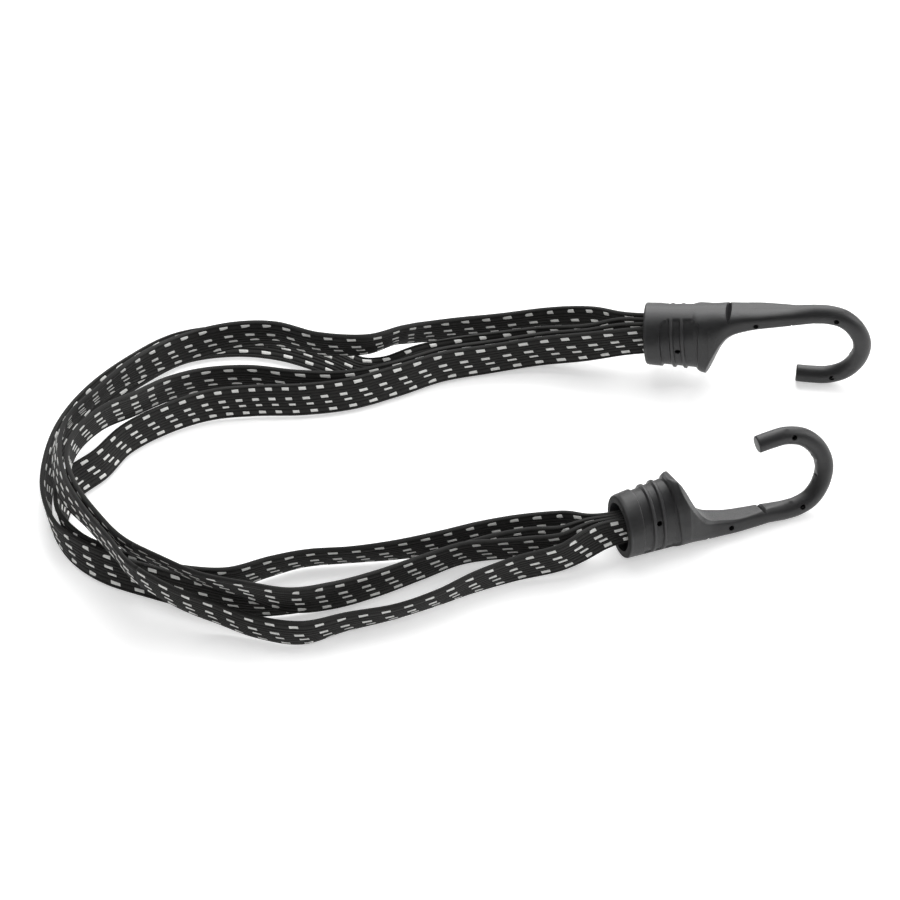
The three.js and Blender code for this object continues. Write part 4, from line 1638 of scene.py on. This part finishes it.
@dataclass
class Hook:
    """One moulded hook with its wire core and ferrule.

    The ridges and the rim get a painted highlight. Each fade is the range of distances in millimetres over
    which the painted highlight dies away: from a ridge, toward the spine, and from the rim.
    """

    side: str
    pose: HookPose
    body: Body
    ridge_highlight: float = 0.35
    ridge_fade: tuple = (-0.05, 0.12)
    spine_fade: tuple = (0.9, 1.6)
    rim_highlight: float = 0.3
    rim_fade: tuple = (0.1, 0.4)
    piece: bpy.types.Object | None = None

    def build(self, shape: HookShape) -> None:
        """Places the hook's mesh and ties it to its body.

        Args:
            shape: The carved hook in its own frame.
        """
        made = new_object(f"moulded_hook_{self.side}", self.pose.place(shape.vertices), shape.faces)
        mesh = made.data
        mesh.set_sharp_from_angle(angle=math.radians(shape.sizes.sharp_angle))
        column = mesh.attributes.new("hook_place", "FLOAT_VECTOR", "POINT")
        column.data.foreach_set("vector", shape.vertices.astype(np.float32).ravel())
        # Share of painted highlight on each vertex, read by the plastic finish.
        column = mesh.attributes.new("edge_wear", "FLOAT", "POINT")
        column.data.foreach_set("value", self._highlight_share(shape).astype(np.float32))
        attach(made, self.body.value)
        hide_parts(f"hook_{self.side}")
        self.piece = made

    def _highlight_share(self, shape: HookShape) -> np.ndarray:
        """Share of painted highlight: highest on ridges and rims, 0 on plain faces.

        Args:
            shape: The carved hook in its own frame.

        Returns:
            Array with one share for each vertex.
        """
        sizes = shape.sizes
        along, from_spine, _ = shape.vertices.T
        # Painted highlight: paler along each ridge and along the mouth rim.
        highlighted = np.zeros(len(along))
        for k in range(1, sizes.ridge_count + 1):
            off = np.abs(along - (sizes.grip_start + k * sizes.ridge_pitch)) - sizes.ridge_width / 2.0
            highlighted = np.maximum(highlighted, self.ridge_highlight * (1.0 - ramp(off, *self.ridge_fade)))
        highlighted = highlighted * ramp(from_spine, *self.spine_fade)
        rim = self.rim_highlight * (1.0 - ramp(np.abs(along - sizes.rim_chamfer), *self.rim_fade))
        return np.maximum(highlighted, rim)

    def dress(self) -> None:
        """Gives the hook its plastic and the carried-over steel nodes their finish."""
        self.piece.data.materials.append(FINISHES["plastic"])
        for node in (f"core_{self.side}", f"ferrule_{self.side}"):
            carried = bpy.data.objects[node]
            carried.data.materials.clear()
            carried.data.materials.append(FINISHES["steel"])


@dataclass(frozen=True)
class Lamp:
    """One soft square lamp: place and edge length in metres, power in watts, point that it faces.

    A lamp that isn't mirrored stays out of reflections.
    """

    name: str
    place: tuple
    size: float
    power: float
    mirrored: bool = True
    aim: tuple = (-0.09, 0.0, 0.0)

    def build(self) -> None:
        """Adds the lamp to the scene."""
        data = bpy.data.lights.new(self.name, "AREA")
        data.size = self.size
        data.energy = self.power
        made = bpy.data.objects.new(self.name, data)
        made.location = self.place
        made.rotation_euler = (Vector(self.aim) - Vector(self.place)).to_track_quat("-Z", "Y").to_euler()
        made.visible_glossy = self.mirrored
        bpy.context.scene.collection.objects.link(made)


@dataclass(frozen=True)
class Studio:
    """Camera, lamps, world and the plain pale floor: metres, degrees, millimetres for lens and sensor."""

    distance: float = 1.6
    elevation: float = 40.0
    lens: float = 196.5
    sensor: float = 36.0
    near_clip: float = 0.05
    floor_size: float = 6.0
    floor_colour: tuple = (0.80, 0.80, 0.80, 1.0)
    floor_roughness: float = 0.9
    floor_lift: float = 0.45
    white: tuple = (1.0, 1.0, 1.0, 1.0)
    world_strength: float = 0.12
    lamps: tuple = (
        Lamp("overhead", (-0.1, 0.35, 1.5), 1.0, 8.0),
        Lamp("right", (1.25, 0.35, 0.75), 0.9, 12.0),
        Lamp("left", (-1.2, 0.2, 0.9), 0.7, 2.0),
        Lamp("back", (0.1, 1.5, 1.25), 1.6, 40.0),
        Lamp("front", (-0.2, -1.3, 1.3), 1.0, 8.0, mirrored=False),
    )

    def camera(self) -> None:
        """Places the camera at the photograph's viewing angle."""
        target = Vector((-MIDDLE * MM).tolist())
        tilt = math.radians(self.elevation)
        offset = Vector((0.0, -math.cos(tilt), math.sin(tilt))) * self.distance
        data = bpy.data.cameras.new("camera")
        data.lens = self.lens
        data.sensor_width = self.sensor
        data.clip_start = self.near_clip
        made = bpy.data.objects.new("camera", data)
        made.location = target + offset
        made.rotation_euler = (-offset).to_track_quat("-Z", "Y").to_euler()
        bpy.context.scene.collection.objects.link(made)
        bpy.context.scene.camera = made

    def floor(self) -> None:
        """Makes the floor: pale, with white added for the camera and for reflections only."""
        half = self.floor_size / 2.0
        corners = [(-half, -half, 0.0), (half, -half, 0.0), (half, half, 0.0), (-half, half, 0.0)]
        made = new_object("floor", np.array(corners), [(0, 1, 2, 3)], smooth=False)
        shader = Shader("floor_finish")
        names = ("Is Camera Ray", "Is Glossy Ray", "Is Transmission Ray")
        camera, glossy, through = (shader.node("ShaderNodeLightPath", output=name) for name in names)
        seen = (camera + glossy + through).clamped()
        shader.finish(
            Base_Color=self.floor_colour,
            Roughness=self.floor_roughness,
            Specular_IOR_Level=0.0,
            Emission_Color=self.white,
        )
        glow = shader.node("ShaderNodeEmission", {"Color": self.white, "Strength": self.floor_lift})
        nothing = shader.node("ShaderNodeEmission", {"Strength": 0.0})
        chosen = shader.node("ShaderNodeMixShader", {0: seen, 1: nothing, 2: glow})
        plain = Value(shader, shader.surface.outputs[0])
        whole = shader.node("ShaderNodeAddShader", {0: plain, 1: chosen})
        shader.feed(shader.tree.nodes["Material Output"].inputs["Surface"], whole)
        made.data.materials.append(shader.material)

    def world(self) -> None:
        """Sets an even pale world."""
        made = bpy.data.worlds.new("studio")
        made.use_nodes = True
        background = made.node_tree.nodes["Background"]
        background.inputs["Color"].default_value = self.white
        background.inputs["Strength"].default_value = self.world_strength
        bpy.context.scene.world = made

    def build(self) -> None:
        """Makes the whole studio."""
        self.camera()
        self.floor()
        self.world()
        for lamp in self.lamps:
            lamp.build()
        bpy.context.scene.view_settings.view_transform = "Standard"


@dataclass
class TieDown:
    """The whole object: four straps and two hooks."""

    straps: list = field(default_factory=list)
    hooks: list = field(default_factory=list)

    def build(self) -> None:
        """Makes the straps first, then the hooks."""
        patch = DashForm().build()
        for seed, (node, route) in enumerate(ROUTES.items()):
            strap = Strap(node, route, WEAVES[node], seed)
            strap.build(patch)
            self.straps.append(strap)
        discard(patch)
        shape = HookShape()
        self.hooks = [Hook("far", FAR_POSE, Body.CORD), Hook("near", NEAR_POSE, Body.NEAR_HOOK)]
        for hook in self.hooks:
            hook.build(shape)

    def dress(self) -> None:
        """Gives every piece its finish."""
        for part in self.straps + self.hooks:
            part.dress()

    def pieces(self) -> list:
        """Objects made here, in the order in which they were built."""
        lengths = [length for strap in self.straps for length in strap.pieces.values()]
        return [piece for length in lengths for piece in length] + [hook.piece for hook in self.hooks]


def main() -> None:
    """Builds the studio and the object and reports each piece."""
    logging.basicConfig(level=logging.INFO)
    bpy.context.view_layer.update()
    Studio().build()
    FINISHES.update({
        "webbing": WebbingFinish().material(),
        "tracer": TracerFinish().material(),
        "plastic": PlasticFinish().material(),
        "steel": SteelFinish().material(),
    })
    tie_down = TieDown()
    tie_down.build()
    tie_down.dress()
    for piece in tie_down.pieces():
        LOG.info("%s: %d vertices, %d faces", piece.name, len(piece.data.vertices), len(piece.data.polygons))


if __name__ == "__main__":
    main()
